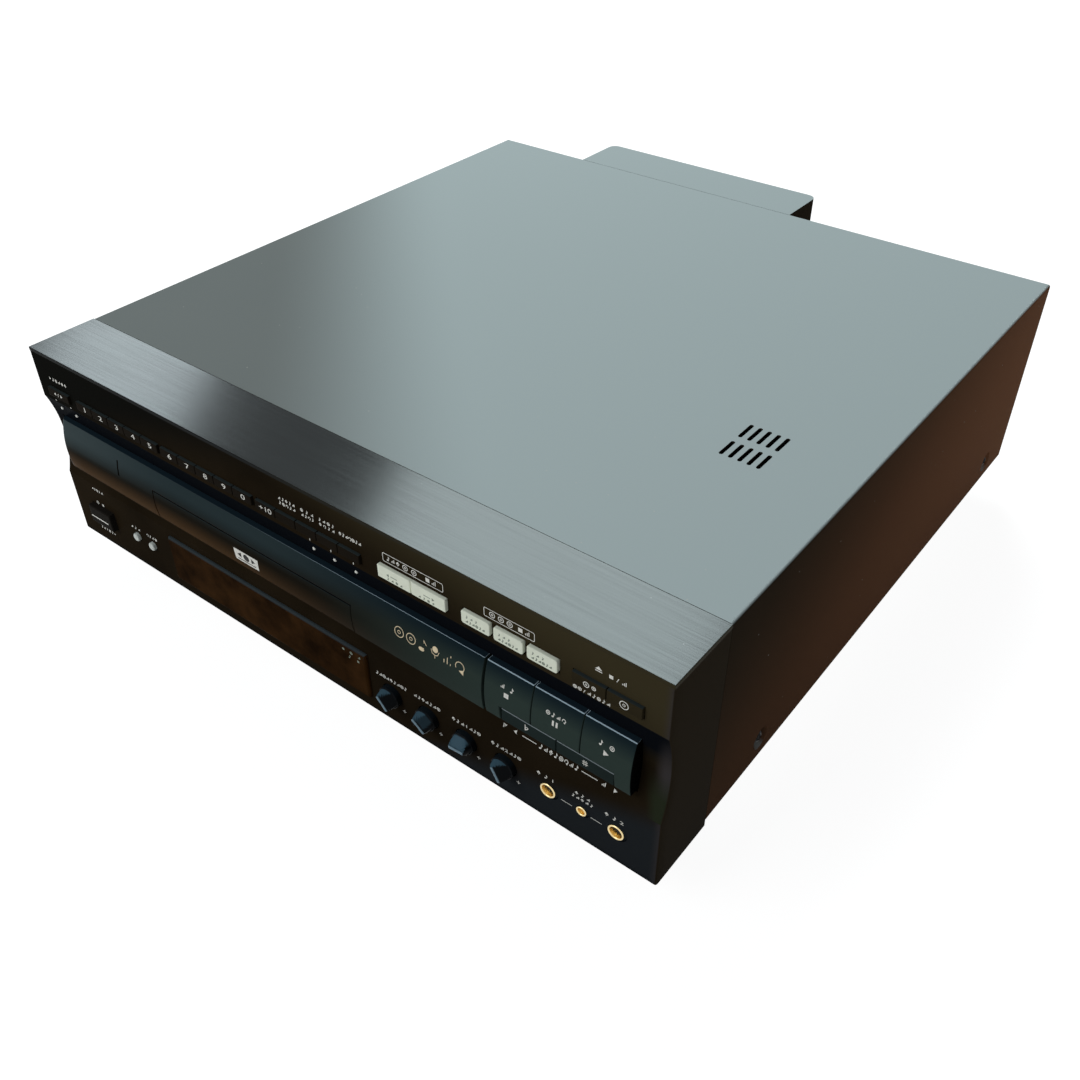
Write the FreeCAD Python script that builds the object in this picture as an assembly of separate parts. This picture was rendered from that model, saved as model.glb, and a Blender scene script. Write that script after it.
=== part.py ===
"""Disc player with a large and a small disc tray, microphone controls and a rear housing.

Millimetres. +X is the right-hand side seen from the front, +Y runs from the front to
the back and +Z is up. The origin is the centre of the player's base on the surface it
stands on.
"""
import math
import os

import FreeCAD
import Part

V = FreeCAD.Vector

# ---- driving dimensions ---------------------------------------------------------------
WIDTH, HEIGHT = 420.0, 144.0
BODY_DEPTH, HOUSING_DEPTH, KNOB_PROUD = 416.7, 40.3, 8.0
HALF = WIDTH / 2
FACE = KNOB_PROUD - (KNOB_PROUD + BODY_DEPTH + HOUSING_DEPTH) / 2

# walls and working gaps
BEZEL_WALL = 3.0
SHEET = 1.2
PLATE = 1.5
TRIM_THICKNESS = 2.0
GAP = 0.4
SLIP = 0.3

# front panel, and the concave cove that runs across it
BEZEL_DEPTH = 41.6
PANEL_HEIGHT = 126.7
COVE_TOP, COVE_BOTTOM, COVE_DEPTH = 30.5, 83.0, 4.6

# upper row of keys: left and right edges, and drops below the top
KEY_PITCH = 14.2
KEY_TOP, KEY_BOTTOM = 20.9, 26.2
KEY_PROUD, KEY_SOFTNESS = 1.5, 0.4
KEY_LIP = 1.2
KEY_STEM, KEY_STEM_BACK = 3.0, 9.5
AB_KEY = (-200.0, -181.0)
KEY_GROUPS = (
    (-173.6, ("key_1", "key_2", "key_3", "key_4", "key_5")),
    (-100.4, ("key_6", "key_7", "key_8", "key_9", "key_0")),
    (-26.8, ("key_plus_10", "key_mode_1", "key_mode_2", "key_mode_3", "key_mode_4")),
)
PALE_TOP, PALE_BOTTOM = 19.1, 26.3
PALE_ROCKER = (55.5, 96.0)
PALE_KEYS_LEFT, PALE_KEY_PITCH, PALE_KEY_WIDTH = 105.0, 17.8, 15.8
EJECT_LEFT, EJECT_MIDDLE, EJECT_RIGHT = 163.6, 180.6, 197.6
EJECT_TOP, EJECT_BOTTOM = 19.7, 26.0

# the long line of tray front, transport buttons and pitch rocker
BAR_LEFT, BAR_RIGHT = -201.0, 115.6
BAR_TOP, BAR_BOTTOM = 43.0, 73.5
BAR_BACK = 8.0
BAR_MARGIN = 1.0
DOOR_LEFT, DOOR_RIGHT, DOOR_TOP = -116.7, 34.0, 55.5
TRANSPORT_LEFT, TRANSPORT_PITCH, TRANSPORT_COUNT = 117.0, 26.3, 3
TRANSPORT_STEM = 2.2
ROCKER_LEFT, ROCKER_RIGHT = 126.0, 186.6
ROCKER_TOP, ROCKER_BOTTOM = 66.0, 73.4

# lower part of the panel
POWER_KEY = (-192.5, -172.0, 98.2, 110.2)
POWER_PROUD = 3.4
ROUND_KEYS = (-150.5, -136.1)
ROUND_KEY_DROP, ROUND_KEY_RADIUS, ROUND_KEY_PROUD = 104.5, 2.6, 1.8
WINDOW = (-116.0, 38.5, 87.0, 117.0)
WINDOW_PROUD, WINDOW_BORDER = 2.0, 3.0
KNOB_LEFT, KNOB_PITCH, KNOB_COUNT = 53.5, 24.1, 4
KNOB_DROP, KNOB_RADIUS, KNOB_SKIRT = 106.0, 6.4, 3.0
KNOB_TURNS = (40.0, 52.0, 95.0, 28.0)
JACK_DROP, JACK_DEPTH, JACK_PROUD = 104.8, 31.0, 1.0
LARGE_JACKS, SMALL_JACK = (151.0, 188.4), 169.8
LARGE_JACK_RIM, LARGE_JACK_BORE = 4.3, 3.25
SMALL_JACK_RIM, SMALL_JACK_BORE = 2.8, 1.85

# discs, and the one centre that both trays and the spindle share
LARGE_DISC, MEDIUM_DISC, SMALL_DISC, TINY_DISC = 300.0, 200.0, 120.0, 80.0
DISC_X, DISC_BACK = -42.75, 166.0

# trays: the small one runs in a channel under the large one
LARGE_TRAY_LEFT, LARGE_TRAY_RIGHT, LARGE_TRAY_END = -199.0, 111.0, 350.0
LARGE_TRAY_TOP, LARGE_TRAY_FLOOR, LARGE_TRAY_UNDER, LARGE_TRAY_SKIRT = 49.0, 52.0, 55.0, 73.0
SMALL_TRAY_LEFT, SMALL_TRAY_RIGHT, SMALL_TRAY_END = -116.5, 31.0, 318.0
SMALL_TRAY_TOP, SMALL_TRAY_FLOOR, SMALL_TRAY_UNDER, SMALL_TRAY_SKIRT = 61.0, 63.5, 66.0, 70.5
TRAY_WALL = 2.5
LARGE_SLOT, SMALL_SLOT = 30.0, 26.0

# tray drive: a straight rack on the large tray and the gear that meshes with it
MODULE, GEAR_TEETH, PRESSURE = 2.0, 18, math.radians(20)
RACK_PITCH_X, RACK_TOP, RACK_BOTTOM, RACK_FRONT = 113.2, 58.0, 66.0, 22.0
GEAR_X, GEAR_BACK = RACK_PITCH_X + MODULE * GEAR_TEETH / 2, 36.0
GEAR_TOP, GEAR_BOTTOM, GEAR_HUB, GEAR_PIN = 57.0, 67.0, 6.0, 2.5
BACKLASH = 0.3
RUNNING = 0.05

# case
COVER_SIDE = 122.4
FLOOR_DROP = 122.0
PAN_HALF = 206.8
SIDE_SCREW_BACKS, SIDE_SCREW_DROP = (90.0, 383.4), 110.0
REAR_SCREWS, REAR_SCREW_DROP = (-190.0, -150.0, 50.0, 190.0), 8.0
SCREW_HOLE, SCREW_SHANK, SCREW_LENGTH = 1.7, 1.5, 6.5
SCREW_HEAD, SCREW_HEAD_HEIGHT = 3.5, 2.0
DIMPLE_RADIUS, DIMPLE_FLOOR, DIMPLE_DEPTH = 6.6, 4.4, 2.2
VENT_LEFT, VENT_PITCH, VENT_WIDTH, VENT_LENGTH, VENT_COUNT = 145.0, 5.0, 2.2, 13.4, 5
VENT_ROWS = (141.0, 159.2)
HOUSING_LEFT, HOUSING_RIGHT, HOUSING_BOTTOM, HOUSING_CORNER = -137.0, 35.5, 108.0, 6.0
FOOT_X, FOOT_BACKS, FOOT_RADIUS = 165.0, (64.0, 372.0), 19.0

# rear sockets
PIN_SHELL, PIN_BORE, PIN_LENGTH = 4.15, 1.7, 9.0
PIN_HOLE = 6.0
PIN_LEFT, PIN_PITCH, PIN_COUNT = 62.0, 19.0, 5
PIN_ROWS = (40.0, 59.0)
INLET = (168.0, 190.0, 96.0, 110.0)

# play mechanism, with the carriage down
DECK_LEFT, DECK_RIGHT, DECK_FRONT, DECK_END, DECK_DROP = -105.0, 20.0, 112.0, 404.0, 102.5
TURNTABLE_DROP = 80.0
ROD_OFFSET, ROD_RADIUS, ROD_DROP = 13.0, 2.5, 96.0
ROD_FRONT, ROD_END = DISC_BACK + 17.4, DECK_END - 36.4
MOTOR_RADIUS, SPINDLE_RADIUS = 17.0, 2.0
SLED_HALF, SLED_LENGTH = 19.0, 42.0
BRIDGE_DROP, CLAMPER_DROP = 26.5, 46.5


def back(distance):
    """Y of a plane this far behind the front face."""
    return FACE + distance


def down(distance):
    """Z of a plane this far below the top."""
    return HEIGHT - distance


def block(x0, x1, back0, back1, drop0, drop1):
    """Box between two X values, two distances behind the face and two below the top."""
    lowest = V(min(x0, x1), back(min(back0, back1)), down(max(drop0, drop1)))
    return Part.makeBox(abs(x1 - x0), abs(back1 - back0), abs(drop1 - drop0), lowest)


def post(x, behind, radius, drop0, drop1):
    """Upright cylinder."""
    return Part.makeCylinder(radius, abs(drop1 - drop0), V(x, back(behind), down(max(drop0, drop1))))


def rod(x, drop, radius, back0, back1):
    """Cylinder lying front to back."""
    return Part.makeCylinder(radius, back1 - back0, V(x, back(back0), down(drop)), V(0, 1, 0))


def line(p, q):
    return Part.LineSegment(p, q).toShape()


def arc(p, middle, q):
    return Part.Arc(p, middle, q).toShape()


def chain(points):
    """Straight edges through the points in turn."""
    return [line(p, q) for p, q in zip(points, points[1:])]


def prism(points, along):
    """Flat outline through the points, pushed out along a vector."""
    return Part.Face(Part.makePolygon(points + points[:1])).extrude(along)


def edges_at_front(shape, front):
    """Edges that lie wholly on the plane Y = front."""
    return [e for e in shape.Edges
            if abs(e.BoundBox.YMin - front) < 0.01 and abs(e.BoundBox.YMax - front) < 0.01]


def edges_at_top(shape, drop):
    """Edges that lie wholly this far below the top."""
    return [e for e in shape.Edges
            if abs(e.BoundBox.ZMin - down(drop)) < 0.01 and abs(e.BoundBox.ZMax - down(drop)) < 0.01]


def save(name, shape):
    """Write one node's STEP file."""
    shape.exportStep(os.path.join("parts", name + ".step"))


# ---- front bezel ----------------------------------------------------------------------
def bezel_section(x, wall, rear):
    """Edges of the panel's side outline, moved in by the wall thickness."""
    half_cove = (COVE_BOTTOM - COVE_TOP) / 2
    radius = (half_cove ** 2 + COVE_DEPTH ** 2) / (2 * COVE_DEPTH)
    middle_drop = (COVE_TOP + COVE_BOTTOM) / 2
    reach = math.sqrt((radius + wall) ** 2 - (radius + wall - COVE_DEPTH) ** 2)
    top = TRIM_THICKNESS + wall
    bottom = PANEL_HEIGHT - wall

    def at(behind, drop):
        return V(x, back(behind), down(drop))

    upper, lower = at(wall, middle_drop - reach), at(wall, middle_drop + reach)
    edges = chain([at(rear, bottom), at(rear, top), at(wall, top), upper])
    edges.append(arc(upper, at(wall + COVE_DEPTH, middle_drop), lower))
    edges += chain([lower, at(wall, bottom), at(rear, bottom)])
    return edges


def side_prism(edges, x0, x1):
    """Closed outline drawn in the plane X = x0, pushed out to x1."""
    return Part.Face(Part.Wire(edges)).extrude(V(x1 - x0, 0, 0))


def upper_row_slots():
    """Left, right, top and bottom of each slot in the upper row."""
    slots = [(AB_KEY[0], AB_KEY[1], KEY_TOP, KEY_BOTTOM)]
    for left, names in KEY_GROUPS:
        slots.append((left, left + len(names) * KEY_PITCH - GAP, KEY_TOP, KEY_BOTTOM))
    slots.append((PALE_ROCKER[0], PALE_ROCKER[1], PALE_TOP, PALE_BOTTOM))
    for n in range(3):
        left = PALE_KEYS_LEFT + n * PALE_KEY_PITCH
        slots.append((left, left + PALE_KEY_WIDTH, PALE_TOP, PALE_BOTTOM))
    slots.append((EJECT_LEFT, EJECT_RIGHT, EJECT_TOP, EJECT_BOTTOM))
    return slots


def tray_opening():
    """The long opening across the cove for the tray fronts and the transport buttons."""
    left, right = BAR_LEFT - BAR_MARGIN, TRANSPORT_LEFT + TRANSPORT_COUNT * TRANSPORT_PITCH
    return block(left, right, -4, BAR_BACK + 4, BAR_TOP - BAR_MARGIN, BAR_BOTTOM + BAR_MARGIN)


def panel_cutters():
    """Every other opening through the panel's wall."""
    depth = (-1, BEZEL_WALL + 1)
    holes = [block(x0 - GAP, x1 + GAP, *depth, top - GAP, bottom + GAP)
             for x0, x1, top, bottom in upper_row_slots() + [POWER_KEY]]
    left, right, top, bottom = WINDOW
    inset = WINDOW_BORDER - GAP / 2
    holes.append(block(left + inset, right - inset, *depth, top + inset, bottom - inset))
    holes += [rod(x, ROUND_KEY_DROP, ROUND_KEY_RADIUS + GAP, *depth) for x in ROUND_KEYS]
    holes += [rod(knob_x(n), KNOB_DROP, KNOB_RADIUS + GAP, *depth) for n in range(KNOB_COUNT)]
    holes += [rod(x, JACK_DROP, LARGE_JACK_RIM, *depth) for x in LARGE_JACKS]
    holes.append(rod(SMALL_JACK, JACK_DROP, SMALL_JACK_RIM, *depth))
    return holes


def front_bezel():
    """Moulded front with wrapped sides, hollow behind."""
    outer = side_prism(bezel_section(-HALF, 0, BEZEL_DEPTH), -HALF, HALF)
    front_edges = edges_at_front(outer, FACE)
    lower_edge = [e for e in front_edges if abs(e.BoundBox.ZMax - down(PANEL_HEIGHT)) < 0.01]
    outer = outer.makeFillet(2.0, lower_edge)
    side = HALF - BEZEL_WALL
    inner = side_prism(bezel_section(-side, BEZEL_WALL, BEZEL_DEPTH + 1), -side, side)
    return outer.cut([inner, tray_opening()] + panel_cutters())


def top_trim_strip():
    """Brushed strip on top of the bezel, chamfered along its front and its ends."""
    strip = block(-HALF, HALF, 0, BEZEL_DEPTH, 0, TRIM_THICKNESS)
    rim = [e for e in edges_at_top(strip, 0) if e.BoundBox.YMin < back(BEZEL_DEPTH) - 0.01]
    return strip.makeChamfer(0.5, rim)


# ---- keys of the upper row ------------------------------------------------------------
def key_front(x0, x1, drop0, drop1, proud, softness, corner=0.0):
    """The part of a key that shows, with its front rim eased."""
    cap = block(x0, x1, -proud, BEZEL_WALL + GAP, drop0, drop1)
    if corner:
        corners = [e for e in cap.Edges if e.BoundBox.XLength < 0.01 and e.BoundBox.ZLength < 0.01]
        cap = cap.makeFillet(corner, corners)
    return cap.makeChamfer(softness, edges_at_front(cap, back(-proud)))


def key_lip(x0, x1, drop0, drop1):
    """Lip that holds a key behind the panel's wall."""
    start = BEZEL_WALL + GAP
    return block(x0, x1, start, start + KEY_LIP, drop0 - 1, drop1 + 1)


def key_stem(x, drop):
    """Square stem that reaches the switch behind a key."""
    half = KEY_STEM / 2
    return block(x - half, x + half, BEZEL_WALL + GAP, KEY_STEM_BACK, drop - half, drop + half)


def key(x0, x1, drop0, drop1, proud=KEY_PROUD, softness=KEY_SOFTNESS, corner=0.0):
    """Push key: cap through the panel, lip and stem."""
    cap = key_front(x0, x1, drop0, drop1, proud, softness, corner)
    return cap.multiFuse([key_lip(x0, x1, drop0, drop1), key_stem((x0 + x1) / 2, (drop0 + drop1) / 2)])


def pale_rocker():
    """Two-way key in one moulding: a groove between its halves and a stem behind each."""
    x0, x1 = PALE_ROCKER
    middle, drop = (x0 + x1) / 2, (PALE_TOP + PALE_BOTTOM) / 2
    lip_half, stem_reach, groove_half, groove_depth = 3.0, 12.0, 0.3, 0.5
    cap = key_front(x0, x1, PALE_TOP, PALE_BOTTOM, KEY_PROUD, KEY_SOFTNESS, 1.6)
    behind = [key_stem(middle - stem_reach, drop), key_stem(middle + stem_reach, drop),
              key_lip(middle - lip_half, middle + lip_half, PALE_TOP, PALE_BOTTOM)]
    groove = block(middle - groove_half, middle + groove_half, -KEY_PROUD - 1, groove_depth - KEY_PROUD,
                   PALE_TOP - 1, PALE_BOTTOM + 1)
    return cap.multiFuse(behind).cut(groove)


def save_upper_row():
    save("key_ab", key(AB_KEY[0], AB_KEY[1], KEY_TOP, KEY_BOTTOM))
    for left, names in KEY_GROUPS:
        for n, name in enumerate(names):
            x0 = left + n * KEY_PITCH
            save(name, key(x0, x0 + KEY_PITCH - GAP, KEY_TOP, KEY_BOTTOM))
    save("pale_rocker", pale_rocker())
    for n, name in enumerate(("pale_key_left", "pale_key_middle", "pale_key_right")):
        x0 = PALE_KEYS_LEFT + n * PALE_KEY_PITCH
        save(name, key(x0, x0 + PALE_KEY_WIDTH, PALE_TOP, PALE_BOTTOM, corner=1.2))
    save("eject_key_small", key(EJECT_LEFT, EJECT_MIDDLE - GAP, EJECT_TOP, EJECT_BOTTOM))
    save("eject_key_large", key(EJECT_MIDDLE, EJECT_RIGHT, EJECT_TOP, EJECT_BOTTOM))


# ---- tray front line: tray fronts and transport buttons -------------------------------
def bar(x0, x1):
    """Bulging bar shared by the tray fronts and the transport buttons."""
    def at(behind, drop):
        return V(x0, back(behind), down(drop))

    top_front, bulge, bottom_front = at(0.7, BAR_TOP), at(-2.7, 58.5), at(-1.8, BAR_BOTTOM)
    edges = [arc(top_front, bulge, bottom_front)]
    edges += chain([bottom_front, at(BAR_BACK, BAR_BOTTOM), at(BAR_BACK, BAR_TOP), top_front])
    return side_prism(edges, x0, x1)


def bar_cutter(x0, x1, drop0, drop1):
    """Box that goes right through the bar from front to back."""
    return block(x0, x1, -5, BAR_BACK + 2, drop0, drop1)


def large_tray_front():
    """Long tray front, cut away for the small tray's door, with one upright groove."""
    door = bar_cutter(DOOR_LEFT - GAP, DOOR_RIGHT + GAP, DOOR_TOP - GAP, BAR_BOTTOM + 1)
    groove = block(-147.9, -146.9, -5, -0.4, 49, 58.5)
    return bar(BAR_LEFT, BAR_RIGHT).cut([door, groove])


def small_tray_front():
    """Door of the small tray, the same curve as the long front around it."""
    return bar(DOOR_LEFT, DOOR_RIGHT).cut(bar_cutter(DOOR_LEFT - 1, DOOR_RIGHT + 1, BAR_TOP - 1, DOOR_TOP))


def transport_button(n):
    """One of the three big buttons; the end ones reach down beside the rocker."""
    x0 = TRANSPORT_LEFT + n * TRANSPORT_PITCH
    x1 = x0 + TRANSPORT_PITCH - GAP
    middle, half = (x0 + x1) / 2, 2.0
    stem = block(middle - half, middle + half, BAR_BACK, BAR_BACK + TRANSPORT_STEM, 52, 52 + 2 * half)
    rocker = bar_cutter(ROCKER_LEFT - GAP, ROCKER_RIGHT + GAP, ROCKER_TOP - GAP, BAR_BOTTOM + 1)
    return bar(x0, x1).cut(rocker).fuse(stem)


def pitch_rocker():
    """Two-way key under the transport buttons: groove, pivot lug and two stems."""
    front, middle, drop = -1.8, (ROCKER_LEFT + ROCKER_RIGHT) / 2, (ROCKER_TOP + ROCKER_BOTTOM) / 2
    cap = block(ROCKER_LEFT, ROCKER_RIGHT, front, BAR_BACK, ROCKER_TOP, ROCKER_BOTTOM)
    cap = cap.makeChamfer(0.5, edges_at_front(cap, back(front)))
    groove = block(middle - 0.3, middle + 0.3, front - 1, front + 0.6, ROCKER_TOP - 1, ROCKER_BOTTOM + 1)
    lug = block(middle - 2, middle + 2, BAR_BACK, BAR_BACK + 4, drop - 2, drop + 2)
    stems = [block(x - 1.5, x + 1.5, BAR_BACK, BAR_BACK + TRANSPORT_STEM, drop - 1.5, drop + 1.5)
             for x in (middle - 18, middle + 18)]
    return cap.multiFuse([lug] + stems).cut(groove)


# ---- lower panel fittings -------------------------------------------------------------
def power_key():
    x0, x1, top, bottom = POWER_KEY
    return key(x0, x1, top, bottom, POWER_PROUD, softness=0.8)


def round_key(x):
    """Small round push button with a softened face."""
    lip_start, lip_end = BEZEL_WALL + GAP, BEZEL_WALL + GAP + KEY_LIP
    cap = rod(x, ROUND_KEY_DROP, ROUND_KEY_RADIUS, -ROUND_KEY_PROUD, lip_start)
    cap = cap.makeChamfer(0.6, edges_at_front(cap, back(-ROUND_KEY_PROUD)))
    lip = rod(x, ROUND_KEY_DROP, ROUND_KEY_RADIUS + 1.2, lip_start, lip_end)
    return cap.multiFuse([lip, rod(x, ROUND_KEY_DROP, KEY_STEM / 2, lip_end, KEY_STEM_BACK)])


def display_window():
    """Smoked window: a proud plate with a bevelled rim and a boss in the panel's opening."""
    left, right, top, bottom = WINDOW
    plate = block(left, right, -WINDOW_PROUD, 0, top, bottom)
    plate = plate.makeChamfer(1.2, edges_at_front(plate, back(-WINDOW_PROUD)))
    border = WINDOW_BORDER
    boss = block(left + border, right - border, 0, BEZEL_WALL, top + border, bottom - border)
    return plate.fuse(boss)


def display_module():
    """Fluorescent display: glass envelope on its board."""
    front, seat, rear = 6.0, 13.0, 14.6
    glass = block(-100, 24, front, seat, 92, 113)
    glass = glass.makeChamfer(1.0, edges_at_front(glass, back(front)))
    return glass.fuse(block(-116, 40, seat, rear, 86, 119))


def knob_x(n):
    return KNOB_LEFT + n * KNOB_PITCH


def knob(n):
    """Rotary knob: round skirt with a wedge-shaped finger grip across it, and its shaft."""
    x = knob_x(n)
    skirt = rod(x, KNOB_DROP, KNOB_RADIUS, -KNOB_SKIRT, BEZEL_WALL)
    skirt = skirt.makeChamfer(0.4, edges_at_front(skirt, back(-KNOB_SKIRT)))
    wide, narrow, low = 4.6, 0.8, down(KNOB_DROP + KNOB_RADIUS)
    outline = [V(x - wide, back(-KNOB_SKIRT), low), V(x + wide, back(-KNOB_SKIRT), low),
               V(x + narrow, back(-KNOB_PROUD), low), V(x - narrow, back(-KNOB_PROUD), low)]
    grip = rod(x, KNOB_DROP, KNOB_RADIUS - 0.4, -KNOB_PROUD, -KNOB_SKIRT)
    grip = grip.common(prism(outline, V(0, 0, 2 * KNOB_RADIUS)))
    shaft = rod(x, KNOB_DROP, 3.0, BEZEL_WALL, 12.0)
    turned = skirt.multiFuse([grip, shaft])
    turned.rotate(V(x, 0, down(KNOB_DROP)), V(0, 1, 0), KNOB_TURNS[n])
    return turned


def jack(x, rim, bore):
    """Threaded jack bush with a rolled rim and a socket body behind the panel."""
    half = rim + 2.4
    bush = rod(x, JACK_DROP, rim, -JACK_PROUD, BEZEL_WALL)
    bush = bush.makeChamfer(0.5, edges_at_front(bush, back(-JACK_PROUD)))
    body = block(x - half, x + half, BEZEL_WALL, JACK_DEPTH + 3, JACK_DROP - half, JACK_DROP + half)
    return bush.fuse(body).cut(rod(x, JACK_DROP, bore, -JACK_PROUD - 1, JACK_DEPTH))


def jacks():
    """Two large sockets with a small one between them."""
    sockets = [jack(x, LARGE_JACK_RIM, LARGE_JACK_BORE) for x in LARGE_JACKS]
    return Part.makeCompound(sockets + [jack(SMALL_JACK, SMALL_JACK_RIM, SMALL_JACK_BORE)])


# ---- case -----------------------------------------------------------------------------
def side_screw_places():
    """Point on the cover's side and inward direction of each side screw."""
    return [(V(side * HALF, back(behind), down(SIDE_SCREW_DROP)), V(-side, 0, 0))
            for side in (-1, 1) for behind in SIDE_SCREW_BACKS]


def vent_slot(x, start):
    """One round-ended slot through the cover's top."""
    r = VENT_WIDTH / 2
    first, last = start + r, start + VENT_LENGTH - r
    ends = [post(x, behind, r, -1, SHEET + 1) for behind in (first, last)]
    return block(x - r, x + r, first, last, -1, SHEET + 1).multiFuse(ends)


def top_cover():
    """Folded steel cover: top and two sides, with a turned-down rear edge."""
    front = BEZEL_DEPTH + SLIP
    outer = block(-HALF, HALF, front, BODY_DEPTH, 0, COVER_SIDE)
    folds = [e for e in edges_at_top(outer, 0) if e.BoundBox.YLength > 1]
    outer = outer.makeFillet(1.5, folds)
    inner = block(-HALF + SHEET, HALF - SHEET, front - 1, BODY_DEPTH + 1, SHEET, COVER_SIDE + 1)
    lip_bottom = 14.0
    lip = block(-HALF + SHEET, HALF - SHEET, BODY_DEPTH - SHEET, BODY_DEPTH, SHEET, lip_bottom)
    notch = block(HOUSING_LEFT - GAP, HOUSING_RIGHT + GAP, BODY_DEPTH - 3, BODY_DEPTH + 1,
                  SHEET, lip_bottom + 1)
    bosses, cutters = [], [vent_slot(VENT_LEFT + n * VENT_PITCH, start)
                           for start in VENT_ROWS for n in range(VENT_COUNT)]
    for place, inward in side_screw_places():
        bosses.append(Part.makeCylinder(DIMPLE_RADIUS + GAP, HALF - PAN_HALF - GAP / 2, place, inward))
        cutters.append(Part.makeCone(DIMPLE_RADIUS, DIMPLE_FLOOR, DIMPLE_DEPTH, place, inward))
        cutters.append(Part.makeCylinder(SCREW_HOLE, 5, place, inward))
    cutters += [rod(x, REAR_SCREW_DROP, SCREW_HOLE, BODY_DEPTH - 4, BODY_DEPTH + 1) for x in REAR_SCREWS]
    return outer.cut(inner).multiFuse([lip.cut(notch)] + bosses).cut(cutters)


def chassis_pan():
    """Steel base pan with turned-up sides, pressed ribs and a field of air slots."""
    front, rear = 6.0, BODY_DEPTH - 2 * SHEET - GAP
    rise, rib_width = 20.0, 6.0
    floor = block(-PAN_HALF, PAN_HALF, front, rear, FLOOR_DROP, FLOOR_DROP + SHEET)
    sides = [block(side * PAN_HALF, side * (PAN_HALF - SHEET), front, rear, FLOOR_DROP - rise, FLOOR_DROP)
             for side in (-1, 1)]
    ribs = [block(-150, 90, behind, behind + rib_width, FLOOR_DROP - SHEET, FLOOR_DROP)
            for behind in (100, 345)]
    holes = [Part.makeCylinder(SCREW_HOLE, 10, place, inward) for place, inward in side_screw_places()]
    slots = [block(x, x + 5, 240, 300, FLOOR_DROP - 3, FLOOR_DROP + 3) for x in range(-84, 84, 14)]
    return floor.multiFuse(sides + ribs).cut(holes + slots)


def rear_panel():
    """Flat steel back with holes for the sockets and the housing's mouth."""
    rear = BODY_DEPTH - SHEET
    half, through = HALF - SHEET - SLIP, (rear - 5, rear + 5)
    panel = block(-half, half, rear - SHEET, rear, SHEET + SLIP, FLOOR_DROP)
    cutters = [block(HOUSING_LEFT + 4, HOUSING_RIGHT - 4, *through, 6, HOUSING_BOTTOM - 4)]
    cutters += [rod(x, drop, PIN_HOLE, *through) for drop in PIN_ROWS for x in pin_columns()]
    cutters.append(block(INLET[0], INLET[1], *through, INLET[2], INLET[3]))
    cutters += [rod(x, REAR_SCREW_DROP, SCREW_HOLE, *through) for x in REAR_SCREWS]
    return panel.cut(cutters)


def rounded_box(left, right, start, end, top, bottom, radius):
    """Box whose two rear upright corners are rounded."""
    box = block(left, right, start, end, top, bottom)
    corners = [e for e in box.Edges if e.BoundBox.ZLength > 1 and e.BoundBox.YMin > back(end) - 0.01]
    return box.makeFillet(radius, corners)


def rear_housing():
    """Box at the back that makes room for the end of the play mechanism."""
    start, end = BODY_DEPTH + SLIP, BODY_DEPTH + HOUSING_DEPTH
    outer = rounded_box(HOUSING_LEFT, HOUSING_RIGHT, start, end, 0, HOUSING_BOTTOM, HOUSING_CORNER)
    inner = rounded_box(HOUSING_LEFT + SHEET, HOUSING_RIGHT - SHEET, start - 1, end - SHEET,
                        SHEET, HOUSING_BOTTOM - SHEET, HOUSING_CORNER - SHEET)
    tab_width, tab_height = 9.0, 16.0
    tabs = [block(x, x + tab_width, start, start + SHEET, top, top + tab_height)
            for x in (HOUSING_LEFT - tab_width, HOUSING_RIGHT) for top in (24, HOUSING_BOTTOM - 24)]
    return outer.cut(inner).multiFuse(tabs)


def foot(x, behind):
    """Round foot with a waist and a hollow tread."""
    height, waist = down(FLOOR_DROP + SHEET), 16.5
    half = [V(0, 0, 0), V(FOOT_RADIUS, 0, 0), V(FOOT_RADIUS, 0, 3), V(waist, 0, 4.5),
            V(FOOT_RADIUS - 0.5, 0, height), V(0, 0, height)]
    solid = Part.Face(Part.makePolygon(half + half[:1])).revolve(V(0, 0, 0), V(0, 0, 1), 360)
    solid = solid.cut(Part.makeCylinder(12, 2.0))
    solid.translate(V(x, back(behind), 0))
    return solid


def feet():
    return Part.makeCompound([foot(side * FOOT_X, behind) for side in (-1, 1) for behind in FOOT_BACKS])


def screw(top, inward):
    """Pan-head screw; `top` is the centre of its head's face."""
    head = Part.makeCylinder(SCREW_HEAD, SCREW_HEAD_HEIGHT, top, inward)
    rim = [e for e in head.Edges if len(e.Vertexes) == 1 and (e.CenterOfMass - top).Length < 0.01]
    head = head.makeChamfer(0.5, rim)
    return head.fuse(Part.makeCylinder(SCREW_SHANK, SCREW_LENGTH, top + inward * SCREW_HEAD_HEIGHT, inward))


def case_screws():
    """Four side screws in their dimples and four along the back of the cover."""
    sunk = DIMPLE_DEPTH - SCREW_HEAD_HEIGHT
    screws = [screw(place + inward * sunk, inward) for place, inward in side_screw_places()]
    screws += [screw(V(x, back(BODY_DEPTH + SCREW_HEAD_HEIGHT), down(REAR_SCREW_DROP)), V(0, -1, 0))
               for x in REAR_SCREWS]
    return Part.makeCompound(screws)


# ---- rear sockets ---------------------------------------------------------------------
def pin_columns():
    return [PIN_LEFT + n * PIN_PITCH for n in range(PIN_COUNT)]


def pin_socket_row(drop):
    """Carrier block behind the panel with a row of pin sockets through it."""
    inside = BODY_DEPTH - 2 * SHEET
    outside, half = inside + SHEET + PIN_LENGTH, 8.0
    columns = pin_columns()
    carrier = block(columns[0] - half, columns[-1] + half, inside - 12, inside, drop - half, drop + half)
    shells = [rod(x, drop, PIN_SHELL, inside, outside) for x in columns]
    bores = [rod(x, drop, PIN_BORE, inside - 8, outside + 1) for x in columns]
    return carrier.multiFuse(shells).cut(bores)


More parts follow.
